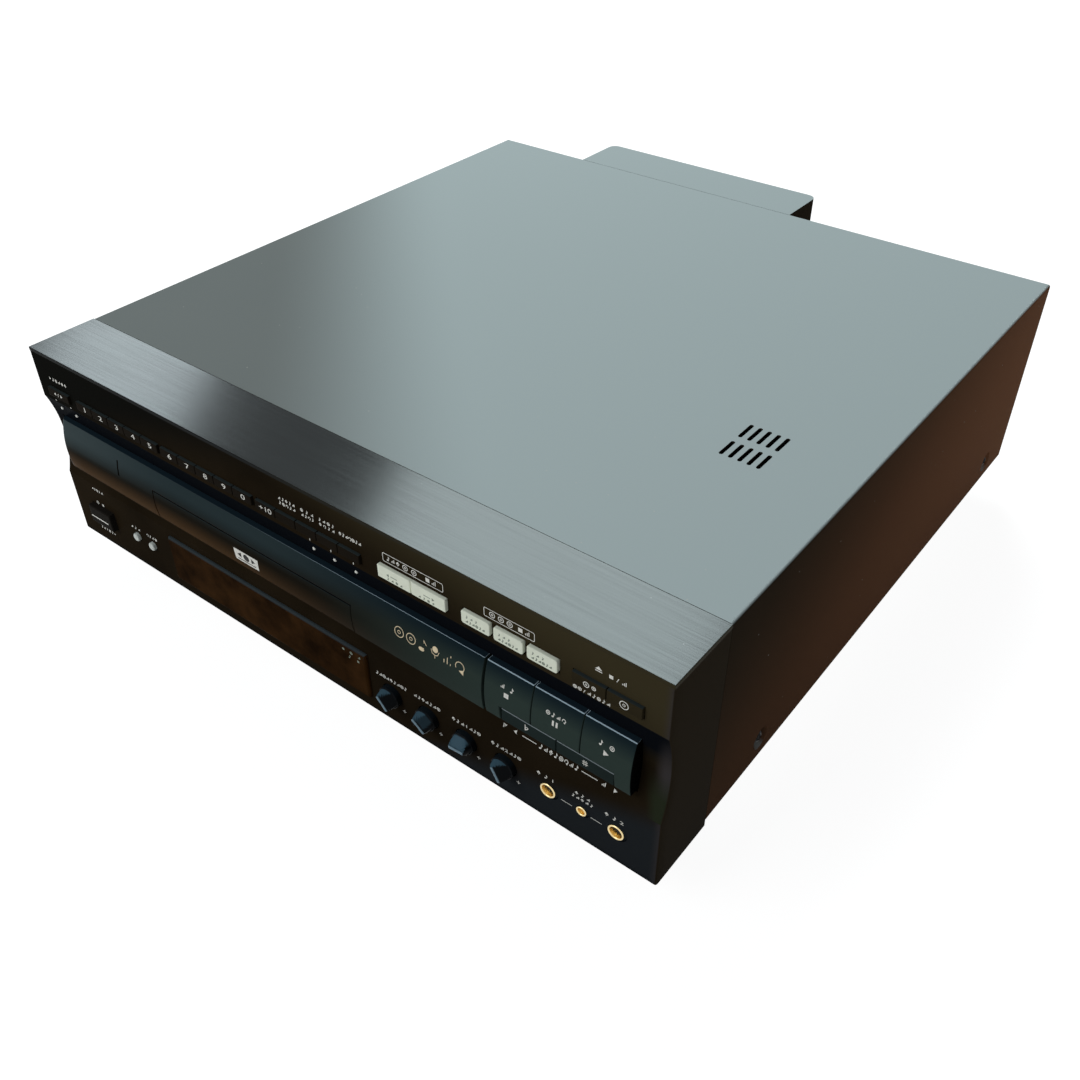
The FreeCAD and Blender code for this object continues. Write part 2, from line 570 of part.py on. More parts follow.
def mains_inlet():
    """Two-pin inlet: an open box through the panel with its pins inside."""
    left, right, top, bottom = INLET
    fit, wall, floor_back, pin_reach = 0.2, 3.0, BODY_DEPTH - 12, 4.3
    body = block(left + fit, right - fit, BODY_DEPTH - 18, BODY_DEPTH + 1, top + fit, bottom - fit)
    mouth = block(left + wall, right - wall, floor_back, BODY_DEPTH + 2, top + wall, bottom - wall)
    middle, drop = (left + right) / 2, (top + bottom) / 2
    pins = [rod(middle + side * pin_reach, drop, 1.2, floor_back - 1, BODY_DEPTH - 2) for side in (-1, 1)]
    return body.cut(mouth).multiFuse(pins)


def rear_sockets():
    return Part.makeCompound([pin_socket_row(drop) for drop in PIN_ROWS] + [mains_inlet()])


# ---- trays ----------------------------------------------------------------------------
def spindle_slot(half_width, end, drop0, drop1):
    """Cutter: round at the disc centre and open to the rear, for spindle and pickup."""
    slot = block(DISC_X - half_width, DISC_X + half_width, DISC_BACK, end + 1, drop0, drop1)
    return slot.fuse(post(DISC_X, DISC_BACK, half_width, drop0, drop1))


def disc_recess(disc, play, top, floor):
    """Cutter: round recess for one size of disc."""
    return post(DISC_X, DISC_BACK, disc / 2 + play, top - 1, floor)


def tray_body(left, right, end, top, under, skirt):
    """Tray plate with a skirt down each side."""
    plate = block(left, right, BAR_BACK, end, top, under)
    return plate.multiFuse([block(left, left + TRAY_WALL, BAR_BACK, end, under, skirt),
                            block(right - TRAY_WALL, right, BAR_BACK, end, under, skirt)])


def small_tray_channel(side, edge):
    """Hanging angle on one side of the small tray: a wall and a lip that carries it."""
    inner, lip, play = edge + side * 0.5, 5.0, SLIP
    wall = block(inner, inner + side * TRAY_WALL, BAR_BACK, SMALL_TRAY_END, LARGE_TRAY_UNDER,
                 SMALL_TRAY_SKIRT + play + PLATE)
    return wall.fuse(block(inner, inner - side * lip, BAR_BACK, SMALL_TRAY_END, SMALL_TRAY_SKIRT + play,
                           SMALL_TRAY_SKIRT + play + PLATE))


def rack():
    """Straight-toothed strip down the tray's right side, one gap facing the gear."""
    pitch = math.pi * MODULE
    tip, root = RACK_PITCH_X + MODULE, LARGE_TRAY_RIGHT
    half = pitch / 4 - BACKLASH / 2
    low, high = half + (RACK_PITCH_X - root) * math.tan(PRESSURE), half - MODULE * math.tan(PRESSURE)
    first = math.ceil((RACK_FRONT + low - GEAR_BACK) / pitch - 0.5)
    last = math.floor((LARGE_TRAY_END - low - GEAR_BACK) / pitch - 0.5)
    outline = [(root - TRAY_WALL, LARGE_TRAY_END), (root - TRAY_WALL, RACK_FRONT), (root, RACK_FRONT)]
    for n in range(first, last + 1):
        middle = GEAR_BACK + (n + 0.5) * pitch
        outline += [(root, middle - low), (tip, middle - high), (tip, middle + high), (root, middle + low)]
    outline.append((root, LARGE_TRAY_END))
    return prism([V(x, back(behind), down(RACK_BOTTOM)) for x, behind in outline],
                 V(0, 0, RACK_BOTTOM - RACK_TOP))


def large_tray():
    """Drawer for the big discs, with the small tray's channel under it and the rack."""
    body = tray_body(LARGE_TRAY_LEFT, LARGE_TRAY_RIGHT, LARGE_TRAY_END,
                     LARGE_TRAY_TOP, LARGE_TRAY_UNDER, LARGE_TRAY_SKIRT)
    channels = [small_tray_channel(-1, SMALL_TRAY_LEFT), small_tray_channel(1, SMALL_TRAY_RIGHT)]
    wells = [disc_recess(LARGE_DISC, 2.0, LARGE_TRAY_TOP, LARGE_TRAY_FLOOR),
             disc_recess(MEDIUM_DISC, 1.5, LARGE_TRAY_TOP, LARGE_TRAY_FLOOR + 1.2),
             spindle_slot(LARGE_SLOT, LARGE_TRAY_END, LARGE_TRAY_TOP - 1, LARGE_TRAY_UNDER + 1)]
    return body.multiFuse(channels + [rack()]).cut(wells)


def small_tray():
    """Drawer for the small discs."""
    body = tray_body(SMALL_TRAY_LEFT, SMALL_TRAY_RIGHT, SMALL_TRAY_END,
                     SMALL_TRAY_TOP, SMALL_TRAY_UNDER, SMALL_TRAY_SKIRT)
    return body.cut([disc_recess(SMALL_DISC, 1.0, SMALL_TRAY_TOP, SMALL_TRAY_FLOOR),
                     disc_recess(TINY_DISC, 1.0, SMALL_TRAY_TOP, SMALL_TRAY_FLOOR + 1),
                     spindle_slot(SMALL_SLOT, SMALL_TRAY_END, SMALL_TRAY_TOP - 1, SMALL_TRAY_UNDER + 1)])


def loading_gear():
    """Involute gear that drives the large tray's rack; one tooth points at the rack."""
    pitch_radius = MODULE * GEAR_TEETH / 2
    base = pitch_radius * math.cos(PRESSURE)
    tip, root = pitch_radius + MODULE - 0.1, pitch_radius - 1.25 * MODULE
    middle_angle = math.pi / (2 * GEAR_TEETH) + math.tan(PRESSURE) - PRESSURE

    def half_tooth(radius):
        """Half of a tooth's angular thickness at this radius."""
        roll = math.acos(min(1.0, base / radius))
        return middle_angle - (math.tan(roll) - roll)

    steps = [base, (base + pitch_radius) / 2 + 0.4, pitch_radius + MODULE / 2, tip]
    flank = [(root, half_tooth(base))] + [(radius, half_tooth(radius)) for radius in steps]
    centre = V(GEAR_X, back(GEAR_BACK), down(GEAR_BOTTOM))
    outline = []
    for tooth in range(GEAR_TEETH):
        axis = math.pi + 2 * math.pi * tooth / GEAR_TEETH
        for radius, offset in [(r, -a) for r, a in flank] + [(r, a) for r, a in reversed(flank)]:
            angle = axis + offset
            outline.append(centre + V(radius * math.cos(angle), radius * math.sin(angle), 0))
    hub = post(GEAR_X, GEAR_BACK, GEAR_HUB, GEAR_TOP - 2, GEAR_BOTTOM + 2)
    toothed = prism(outline, V(0, 0, GEAR_BOTTOM - GEAR_TOP))
    return toothed.fuse(hub).cut(post(GEAR_X, GEAR_BACK, GEAR_PIN + RUNNING, GEAR_TOP - 4, GEAR_BOTTOM + 4))


def tray_guide(side, edge):
    """Folded rail under one side of the large tray: ledge, web and foot."""
    start, end, reach = 44.0, 400.0, 12.0
    ledge, web_in, web_out = LARGE_TRAY_SKIRT + SLIP, edge - side * SLIP, edge + side * SHEET
    return block(edge - side * reach, web_out, start, end, ledge, ledge + PLATE).multiFuse([
        block(web_in, web_out, start, end, ledge, FLOOR_DROP),
        block(edge - side * reach, web_out, start, end, FLOOR_DROP - PLATE, FLOOR_DROP)])


def tray_guides():
    """Both rails; the right one has a bracket that carries the gear's pin."""
    bracket = block(LARGE_TRAY_RIGHT, GEAR_X + 8, GEAR_BACK - 6, 60, FLOOR_DROP - PLATE, FLOOR_DROP)
    shoulder = post(GEAR_X, GEAR_BACK, 5, GEAR_BOTTOM + 2 + SLIP, FLOOR_DROP - PLATE)
    pin = post(GEAR_X, GEAR_BACK, GEAR_PIN, GEAR_TOP - 3, FLOOR_DROP - PLATE)
    right = tray_guide(1, LARGE_TRAY_RIGHT).multiFuse([bracket, shoulder, pin])
    return Part.makeCompound([tray_guide(-1, LARGE_TRAY_LEFT), right])


# ---- play mechanism -------------------------------------------------------------------
def guide_rods(radius, start, end):
    """The pair of rods that the pickup slides on, or their bores."""
    return [rod(DISC_X + side * ROD_OFFSET, ROD_DROP, radius, start, end) for side in (-1, 1)]


def play_carriage():
    """Pressed deck that lifts spindle and pickup through the trays' slots."""
    plate = block(DECK_LEFT, DECK_RIGHT, DECK_FRONT, DECK_END, DECK_DROP, DECK_DROP + PLATE)
    flange, saddle_half, saddle_length = 9.0, ROD_OFFSET + 4, 3.6
    sides = [block(x, x + PLATE, DECK_FRONT, DECK_END, DECK_DROP, DECK_DROP + flange)
             for x in (DECK_LEFT, DECK_RIGHT - PLATE)]
    saddles = [block(DISC_X - saddle_half, DISC_X + saddle_half, start, start + saddle_length,
                     ROD_DROP - 4, DECK_DROP) for start in (ROD_FRONT, ROD_END - saddle_length)]
    window = block(DISC_X - SLED_HALF - 2, DISC_X + SLED_HALF + 2, DISC_BACK + 24, DECK_END - 60,
                   DECK_DROP - 1, DECK_DROP + 3)
    motor_hole = post(DISC_X, DISC_BACK, MOTOR_RADIUS + 0.1, DECK_DROP - 1, DECK_DROP + 3)
    deck = plate.multiFuse(sides + saddles)
    return deck.cut([window, motor_hole] + guide_rods(ROD_RADIUS, DISC_BACK, DECK_END))


def spindle_motor():
    """Flat motor hung in the deck, bored for the spindle."""
    can = post(DISC_X, DISC_BACK, MOTOR_RADIUS, 98, 119)
    flange = post(DISC_X, DISC_BACK, MOTOR_RADIUS + 5, DECK_DROP + PLATE, DECK_DROP + 2 * PLATE)
    bearing = post(DISC_X, DISC_BACK, 5, 96, 98)
    return can.multiFuse([flange, bearing]).cut(post(DISC_X, DISC_BACK, SPINDLE_RADIUS + RUNNING, 90, 112))


def turntable():
    """Disc table with a stepped hub for both sizes of centre hole, on its spindle."""
    table_bottom, boss_bottom, hub_top = TURNTABLE_DROP + 3.5, 93.0, TURNTABLE_DROP - 1.8
    table = post(DISC_X, DISC_BACK, 22, TURNTABLE_DROP, table_bottom)
    hub = post(DISC_X, DISC_BACK, 17.3, hub_top, TURNTABLE_DROP)
    cone = Part.makeCone(7.4, 5.0, 2.6, V(DISC_X, back(DISC_BACK), down(hub_top)))
    boss = post(DISC_X, DISC_BACK, 6, table_bottom, boss_bottom)
    return table.multiFuse([hub, cone, boss, post(DISC_X, DISC_BACK, SPINDLE_RADIUS, boss_bottom, 110)])


def pickup_sled():
    """Optical pickup on two rods: carriage, lens cover and lens."""
    front, cover_top, cover_half = DISC_BACK + 21.5, 84.2, 12.0
    body = block(DISC_X - SLED_HALF, DISC_X + SLED_HALF, front, front + SLED_LENGTH, 88, 101)
    cover = block(DISC_X - cover_half, DISC_X + cover_half, front, front + 22, cover_top, 88)
    cover = cover.makeChamfer(1.0, edges_at_top(cover, cover_top))
    lens = post(DISC_X, front + 5.5, 3.2, cover_top - 1.4, cover_top)
    bores = guide_rods(ROD_RADIUS + RUNNING, front - 1, front + SLED_LENGTH + 1)
    return body.multiFuse([cover, lens]).cut(bores)


def clamp_bridge():
    """Folded bridge over the trays that carries the clamper."""
    x0, x1 = LARGE_TRAY_LEFT - 5, LARGE_TRAY_RIGHT + 8
    front, end, rib = DISC_BACK - 22, DISC_BACK + 22, 6.0
    span = block(x0, x1, front, end, BRIDGE_DROP, BRIDGE_DROP + PLATE)
    ribs = [block(x0, x1, start, start + PLATE, BRIDGE_DROP - rib, BRIDGE_DROP)
            for start in (front, end - PLATE)]
    legs = [block(x, x + PLATE, front, end, BRIDGE_DROP, FLOOR_DROP) for x in (x0, x1 - PLATE)]
    hole = post(DISC_X, DISC_BACK, 9.0, BRIDGE_DROP - 1, BRIDGE_DROP + 3)
    return span.multiFuse(ribs + legs).cut(hole)


def clamper():
    """Free-turning puck that hangs in the bridge and holds the disc on the turntable."""
    puck_top, cap_under = CLAMPER_DROP - 3.5, BRIDGE_DROP - 0.5
    return post(DISC_X, DISC_BACK, 18, puck_top, CLAMPER_DROP).multiFuse([
        post(DISC_X, DISC_BACK, 8, cap_under, puck_top),
        post(DISC_X, DISC_BACK, 13, cap_under - 2.5, cap_under)])


# ---- electronics ----------------------------------------------------------------------
def board(left, right, start, end, top):
    """Level board on four posts that stand on the pan."""
    thickness, inset = 1.6, 6.0
    posts = [post(x, behind, 3, top + thickness, FLOOR_DROP)
             for x in (left + inset, right - inset) for behind in (start + inset, end - inset)]
    return block(left, right, start, end, top, top + thickness).multiFuse(posts)


def circuit_boards():
    """Main board, supply board, key board and control board with their tallest parts."""
    top = 112.0
    chips = [block(-172, -144, behind, behind + 28, top - 3, top) for behind in (110, 190, 270)]
    cans = [post(x, behind, 8, top - 20, top) for x in (140, 165) for behind in (130, 170)]
    heat_sink = block(184, 190, 120, 200, top - 30, top)
    return Part.makeCompound([board(-184, -122, 70, 400, top).multiFuse(chips),
                              board(124, 200, 100, 300, top).multiFuse(cans + [heat_sink]),
                              block(-203, 203, 11.2, 12.8, 8, 38),
                              block(118, 203, 12.4, 14, 42, 84)])


def power_transformer():
    """Laminated core with its winding and mounting tabs."""
    core = block(130, 192, 326, 390, 82, 118)
    winding = block(138, 184, 318, 398, 88, 116)
    return core.multiFuse([winding, block(122, 200, 340, 376, 118, FLOOR_DROP)])


# ---- every node -----------------------------------------------------------------------
os.makedirs("parts", exist_ok=True)
save_upper_row()
for node in (front_bezel, top_trim_strip, power_key, large_tray_front, small_tray_front, pitch_rocker,
             display_window, display_module, jacks, top_cover, chassis_pan, rear_panel, rear_housing,
             feet, case_screws, rear_sockets, large_tray, small_tray, loading_gear, tray_guides,
             play_carriage, spindle_motor, turntable, pickup_sled, clamp_bridge, clamper,
             circuit_boards, power_transformer):
    save(node.__name__, node())
save("sled_guide_rods", Part.makeCompound(guide_rods(ROD_RADIUS, ROD_FRONT, ROD_END)))
for place, key_x in zip(("left", "right"), ROUND_KEYS):
    save("round_key_" + place, round_key(key_x))
for number, title in enumerate(("stop_button", "pause_button", "play_button")):
    save(title, transport_button(number))
for number in range(KNOB_COUNT):
    save("knob_%d" % (number + 1), knob(number))
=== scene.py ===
import math

import bmesh
import bpy
import numpy as np
from mathutils import Matrix, Vector


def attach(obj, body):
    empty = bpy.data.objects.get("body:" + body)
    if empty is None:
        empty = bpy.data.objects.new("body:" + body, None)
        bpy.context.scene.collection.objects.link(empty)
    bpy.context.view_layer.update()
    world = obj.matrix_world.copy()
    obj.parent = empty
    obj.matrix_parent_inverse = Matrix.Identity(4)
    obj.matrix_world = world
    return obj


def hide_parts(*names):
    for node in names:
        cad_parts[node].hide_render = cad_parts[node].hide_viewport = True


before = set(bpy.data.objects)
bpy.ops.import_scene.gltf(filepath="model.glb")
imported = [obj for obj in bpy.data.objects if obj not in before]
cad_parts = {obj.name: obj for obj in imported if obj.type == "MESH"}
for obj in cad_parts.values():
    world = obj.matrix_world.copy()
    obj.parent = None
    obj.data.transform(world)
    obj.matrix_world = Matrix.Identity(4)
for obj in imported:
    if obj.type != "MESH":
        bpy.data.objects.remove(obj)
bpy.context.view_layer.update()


# ---- camera ---------------------------------------------------------------------------
# A 37 mm lens on a full-frame sensor, held above the right front corner and turned to
# look down along the front panel towards the far left corner of the cover.
lens = bpy.data.cameras.new("view")
lens.sensor_width, lens.lens = 36.0, 36.987
camera = bpy.data.objects.new("view", lens)
camera.location = (0.3465, -0.4796, 0.4414)
camera.rotation_euler = np.radians((51.31196, 0.21669, 37.87894))
bpy.context.scene.collection.objects.link(camera)
bpy.context.scene.camera = camera
bpy.context.scene.view_settings.view_transform = "Standard"


# ---- studio ---------------------------------------------------------------------------
# A pale floor, a white surround and soft boxes. Two boxes stand low behind the left side
# with a gap between them, which is what the brushed strip mirrors as its dark middle.
def wire(tree, *links):
    """Joins sockets given as (node, output name, node, input name)."""
    for source, output, target, entry in links:
        tree.links.new(source.outputs[output], target.inputs[entry])


def node(tree, kind, **values):
    """Adds a shader node; names in capitals are inputs, the others are its settings."""
    added = tree.nodes.new(kind)
    for name, value in values.items():
        if name[0].isupper():
            added.inputs[name.replace("_", " ")].default_value = value
        else:
            setattr(added, name, value)
    return added


def seen_directly(tree):
    """One for camera, mirror and see-through rays, nought for the rest."""
    path = node(tree, "ShaderNodeLightPath")
    either = [node(tree, "ShaderNodeMath", operation="MAXIMUM") for _ in range(2)]
    wire(tree, (path, "Is Camera Ray", either[0], 0), (path, "Is Glossy Ray", either[0], 1),
         (either[0], 0, either[1], 0), (path, "Is Transmission Ray", either[1], 1))
    return either[1]


surround = bpy.data.worlds.new("surround")
bpy.context.scene.world = surround
surround.use_nodes = True
tree = surround.node_tree
tree.nodes.clear()
room = node(tree, "ShaderNodeBackground", Color=(0.86, 0.93, 1.0, 1), Strength=0.22)
white = node(tree, "ShaderNodeBackground", Color=(1, 1, 1, 1), Strength=1.0)
choice = node(tree, "ShaderNodeMixShader")
output = node(tree, "ShaderNodeOutputWorld")
wire(tree, (seen_directly(tree), 0, choice, 0), (room, 0, choice, 1), (white, 0, choice, 2),
     (choice, 0, output, 0))

paper = bpy.data.materials.new("pale_floor")
paper.use_nodes = True
tree = paper.node_tree
tree.nodes.clear()
matt = node(tree, "ShaderNodeBsdfDiffuse", Color=(0.78, 0.75, 0.72, 1))
shaded = node(tree, "ShaderNodeBsdfDiffuse", Color=(0.20, 0.20, 0.20, 1))
glow = node(tree, "ShaderNodeEmission", Color=(1, 1, 1, 1), Strength=0.93)
both = node(tree, "ShaderNodeAddShader")
choice = node(tree, "ShaderNodeMixShader")
output = node(tree, "ShaderNodeOutputMaterial")
wire(tree, (shaded, 0, both, 0), (glow, 0, both, 1), (seen_directly(tree), 0, choice, 0),
     (matt, 0, choice, 1), (both, 0, choice, 2), (choice, 0, output, 0))

far = 5.0  # metres from the middle to the floor's edges
floor_mesh = bpy.data.meshes.new("floor")
floor_mesh.from_pydata([(-far, -far, 0), (far, -far, 0), (far, far, 0), (-far, far, 0)], [],
                       [(0, 1, 2, 3)])
floor_mesh.materials.append(paper)
floor = bpy.data.objects.new("floor", floor_mesh)
bpy.context.scene.collection.objects.link(floor)

lamp_distance, lit_place = 3.0, Vector((-0.05, -0.15, 0.144))


def soft_box(name, swing, lift, radiance, colour):
    """Area lamp that faces the front of the cover. Swing runs in degrees from straight
    left towards the right, and lift turns about that line from straight behind upwards.
    With s and t their middles, it lies towards (-cos s, sin s cos t, sin s sin t)."""
    s, t = (math.radians(sum(pair) / 2) for pair in (swing, lift))
    wide = 2 * lamp_distance * math.tan(math.radians(swing[1] - swing[0]) / 2)
    high = 2 * lamp_distance * math.tan(math.radians(lift[1] - lift[0]) / 2) * math.sin(s)
    lamp = bpy.data.lights.new(name, "AREA")
    lamp.shape, lamp.size, lamp.size_y = "RECTANGLE", wide, high
    lamp.energy, lamp.color = radiance * math.pi * wide * high, colour
    toward = Vector((-math.cos(s), math.sin(s) * math.cos(t), math.sin(s) * math.sin(t)))
    across = Vector((math.sin(s), math.cos(s) * math.cos(t), math.cos(s) * math.sin(t)))
    turned = Matrix((across, toward.cross(across), toward)).transposed()
    held = bpy.data.objects.new(name, lamp)
    held.location = lit_place + toward * lamp_distance
    held.rotation_euler = turned.to_euler()
    held.visible_camera = False
    bpy.context.scene.collection.objects.link(held)


soft_box("box_left", (33.0, 41.4), (28, 68), 11.8, (0.93, 0.98, 1.0))
soft_box("box_behind", (54.0, 77.0), (28, 68), 10.4, (0.95, 1.0, 0.99))
soft_box("box_front", (46, 86), (122, 156), 3.2, (0.97, 0.99, 1.0))


# ---- base pan, feet and rear panel ----------------------------------------------------
# Zinc-plated sheet steel, pressed and punched; four moulded rubber feet are screwed
# under it. The parts come straight from the tools, so their edges are left as cut.
def finish(name, colour, rough, metal=0.0, specular=0.5, mottle=0.10, patch=0.03, grain=0.0005,
           raised=0.00002, vary=0.06, stretch=(1, 1, 1), **fixed):
    """Surface on object coordinates. A broad noise, patch metres across, lightens and
    darkens the colour by mottle. A fine noise, grain metres across, stretched along the
    axes, moves the roughness by vary and lifts the surface by raised metres. What is
    fixed goes straight into the shader's inputs of those names."""
    surface = bpy.data.materials.new(name)
    surface.use_nodes = True
    tree = surface.node_tree
    shader = tree.nodes["Principled BSDF"]
    shader.inputs["Metallic"].default_value = metal
    shader.inputs["Specular IOR Level"].default_value = specular
    for entry, value in fixed.items():
        shader.inputs[entry.replace("_", " ")].default_value = value
    place = node(tree, "ShaderNodeTexCoord")
    along = node(tree, "ShaderNodeMapping")
    along.inputs["Scale"].default_value = stretch
    broad = node(tree, "ShaderNodeTexNoise", Scale=1 / patch, Detail=4.0, Roughness=0.55)
    fine = node(tree, "ShaderNodeTexNoise", Scale=1 / grain, Detail=3.0, Roughness=0.6)
    tint = node(tree, "ShaderNodeValToRGB")
    low, high = tint.color_ramp.elements
    low.position, high.position = 0.3, 0.7
    low.color = tuple(c * (1 - mottle) for c in colour) + (1,)
    high.color = tuple(min(1, c * (1 + mottle)) for c in colour) + (1,)
    sheen = node(tree, "ShaderNodeMapRange")
    for entry, value in (("From Min", 0.3), ("From Max", 0.7), ("To Min", rough - vary),
                         ("To Max", rough + vary)):
        sheen.inputs[entry].default_value = value
    lift = node(tree, "ShaderNodeBump", Strength=1.0, Distance=raised)
    wire(tree, (place, "Object", along, 0), (place, "Object", broad, "Vector"),
         (along, 0, fine, "Vector"), (broad, "Fac", tint, 0), (tint, 0, shader, "Base Color"),
         (fine, "Fac", sheen, "Value"), (sheen, 0, shader, "Roughness"),
         (fine, "Fac", lift, "Height"), (lift, 0, shader, "Normal"))
    return surface


def dress(material, *names):
    """Gives the parts that keep their own shape their finish."""
    for name in names:
        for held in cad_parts[name].material_slots:
            held.material = material


def veiled(tree, shader, share, colour):
    """Mixes a colour over what feeds the base colour, by a share from nought to one."""
    veil = node(tree, "ShaderNodeMix", data_type="RGBA")
    veil.inputs[7].default_value = colour + (1,)
    under = shader.inputs["Base Color"].links[0].from_socket
    tree.links.new(share.outputs[0], veil.inputs[0])
    tree.links.new(under, veil.inputs[6])
    tree.links.new(veil.outputs[2], shader.inputs["Base Color"])


def settled(material, colour, low=-3, high=-2, rougher=0.0, metal=0.0, run=None, least=0.0):
    """Painted light and shade, and tints: mixes in another colour, more roughness and some
    metallic sheen as the surface turns upwards, from a normal height low to high; as they
    stand, low and high cover every side. A run (right, back, up, from, to) makes the share
    grow from least to one while x right + y back + z up, in metres, goes from one to the other."""
    tree = material.node_tree
    shader = tree.nodes["Principled BSDF"]
    place, parts = node(tree, "ShaderNodeTexCoord"), node(tree, "ShaderNodeSeparateXYZ")
    share = node(tree, "ShaderNodeMapRange", From_Min=low, From_Max=high)
    if run:
        along = node(tree, "ShaderNodeVectorMath", operation="DOT_PRODUCT")
        along.inputs[1].default_value = run[:3]
        grown = node(tree, "ShaderNodeMapRange", interpolation_type="SMOOTHSTEP",
                     From_Min=run[3], From_Max=run[4], To_Min=least)
        wire(tree, (place, "Object", along, 0), (along, "Value", grown, "Value"),
             (grown, 0, share, "To Max"))
    wire(tree, (place, "Normal", parts, 0), (parts, "Z", share, "Value"))
    veiled(tree, shader, share, colour)
    if rougher:
        dull = node(tree, "ShaderNodeMath", operation="MULTIPLY_ADD")
        dull.inputs[1].default_value = rougher
        tree.links.new(shader.inputs["Roughness"].links[0].from_socket, dull.inputs[2])
        wire(tree, (share, 0, dull, 0), (dull, 0, shader, "Roughness"))
    if metal:
        gleam = node(tree, "ShaderNodeMath", operation="MULTIPLY")
        gleam.inputs[1].default_value = metal
        wire(tree, (share, 0, gleam, 0), (gleam, 0, shader, "Metallic"))


zinc = finish("zinc_plate", (0.36, 0.37, 0.35), 0.34, metal=1.0, mottle=0.07, patch=0.005,
              grain=0.0012, vary=0.10)
rubber = finish("foot_rubber", (0.018, 0.018, 0.018), 0.72, specular=0.3, grain=0.0004,
                raised=0.00003)
socket_plastic = finish("socket_plastic", (0.020, 0.020, 0.022), 0.42, grain=0.0006)
dress(zinc, "chassis_pan", "rear_panel", "tray_guides", "play_carriage", "clamp_bridge")
dress(rubber, "feet")
dress(socket_plastic, "rear_sockets")


# ---- works inside the case ------------------------------------------------------------
# Spindle motor, pickup on two ground rods, clamper, loading gear, mains transformer and
# glass-fibre boards. They show through the tray openings and the vents.
bright = finish("bright_steel", (0.62, 0.62, 0.60), 0.18, metal=1.0, mottle=0.05, patch=0.01,
                grain=0.0003, stretch=(1, 0.05, 1))
gear_plastic = finish("gear_plastic", (0.72, 0.70, 0.63), 0.38, mottle=0.04, grain=0.0008)
pickup_plastic = finish("pickup_plastic", (0.022, 0.022, 0.024), 0.45)
board_resin = finish("board_resin", (0.030, 0.115, 0.045), 0.34, mottle=0.22, patch=0.006,
                     grain=0.0015)
core_iron = finish("core_iron", (0.16, 0.14, 0.12), 0.5, metal=0.6, mottle=0.25, patch=0.006,
                   grain=0.0005, stretch=(0.1, 0.1, 1.6))
glass_grey = finish("display_glass", (0.055, 0.060, 0.058), 0.10, mottle=0.15, patch=0.02)
dress(bright, "spindle_motor", "sled_guide_rods", "turntable", "clamper")
dress(gear_plastic, "loading_gear")
dress(pickup_plastic, "pickup_sled")
dress(board_resin, "circuit_boards")
dress(core_iron, "power_transformer")
dress(glass_grey, "display_module")


# ---- disc trays -----------------------------------------------------------------------
# Two drawers moulded in black plastic with a fine spark texture, the small one hung
# under the large one, each with stepped round wells for two sizes of disc.
tray_plastic = finish("tray_plastic", (0.020, 0.020, 0.021), 0.40, mottle=0.10, grain=0.0005,
                      raised=0.00003)
dress(tray_plastic, "large_tray", "small_tray")


# ---- front bezel ----------------------------------------------------------------------
# One injection moulding in black: the panel with its hollow cove, and sides, top and
# bottom wrapped back to meet the cover. Openings are moulded through for every control.
FRONT, TOP = -224.5, 144.0  # the face's distance back and the top's height


def framed(points):
    """Metres in the player's frame from points given as millimetres right of the middle,
    behind the front face and below the top."""
    x, behind, drop = np.moveaxis(np.asarray(points, float), -1, 0)
    return np.stack([x, behind + FRONT, TOP - drop], -1) / 1000


def cells(rows, columns, start=0, keep=None):
    """Four point numbers for every cell of a grid of points, or only for kept cells."""
    first = start + np.arange(rows - 1)[:, None] * columns + np.arange(columns - 1)
    corners = np.stack([first, first + 1, first + columns + 1, first + columns], -1)
    return corners.reshape(-1, 4) if keep is None else corners[keep]


def joined(sheets):
    """Points and faces of several grids as one list. A sheet is a grid of points, or a
    grid and the mask of the cells to keep."""
    points, faces, start = [], [], 0
    for sheet in sheets:
        grid, keep = sheet if isinstance(sheet, tuple) else (sheet, None)
        points.append(grid.reshape(-1, 3))
        faces.append(cells(grid.shape[0], grid.shape[1], start, keep))
        start += grid.shape[0] * grid.shape[1]
    return np.concatenate(points), np.concatenate(faces)


def made(name, points, faces, material, slot, body, stands_for=(), crease=32, bevel=None):
    """Object from points in millimetres and four-sided faces. Points that fall together
    are merged, faces turned outwards, and edges sharper than crease degrees kept crisp."""
    mesh = bpy.data.meshes.new(name)
    mesh.from_pydata(framed(points).tolist(), [], np.asarray(faces).tolist())
    work = bmesh.new()
    work.from_mesh(mesh)
    bmesh.ops.remove_doubles(work, verts=work.verts, dist=3e-6)
    bmesh.ops.dissolve_degenerate(work, edges=work.edges, dist=2e-6)
    bmesh.ops.delete(work, geom=[v for v in work.verts if not v.link_faces], context="VERTS")
    bmesh.ops.recalc_face_normals(work, faces=work.faces)
    work.to_mesh(mesh)
    work.free()
    mesh.polygons.foreach_set("use_smooth", np.ones(len(mesh.polygons), bool))
    mesh.set_sharp_from_angle(angle=math.radians(crease))
    mesh.materials.append(material)
    thing = bpy.data.objects.new(name, mesh)
    bpy.context.scene.collection.objects.link(thing)
    if bevel:
        edge = thing.modifiers.new("eased_edges", "BEVEL")
        edge.width, edge.segments, edge.limit_method = bevel / 1000, 3, "ANGLE"
        edge.angle_limit, edge.harden_normals = math.radians(40), True
    if stands_for:
        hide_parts(*stands_for)
    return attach(thing, body)


cove_top, cove_foot, cove_deep = 30.5, 83.0, 4.6


def cove(drop, wall=0.0):
    """Distance behind the face at each drop: a circular hollow 4.6 mm deep between drops
    30.5 and 83, drawn from the same centre for the inside of the wall. From half its
    height h and its depth t, the radius is (h squared + t squared) / 2t."""
    middle, high = (cove_top + cove_foot) / 2, (cove_foot - cove_top) / 2
    radius = (high ** 2 + cove_deep ** 2) / (2 * cove_deep) + wall
    arch = np.sqrt(np.maximum(radius ** 2 - (np.asarray(drop, float) - middle) ** 2, 0))
    return wall + np.maximum(0, arch - radius + cove_deep)


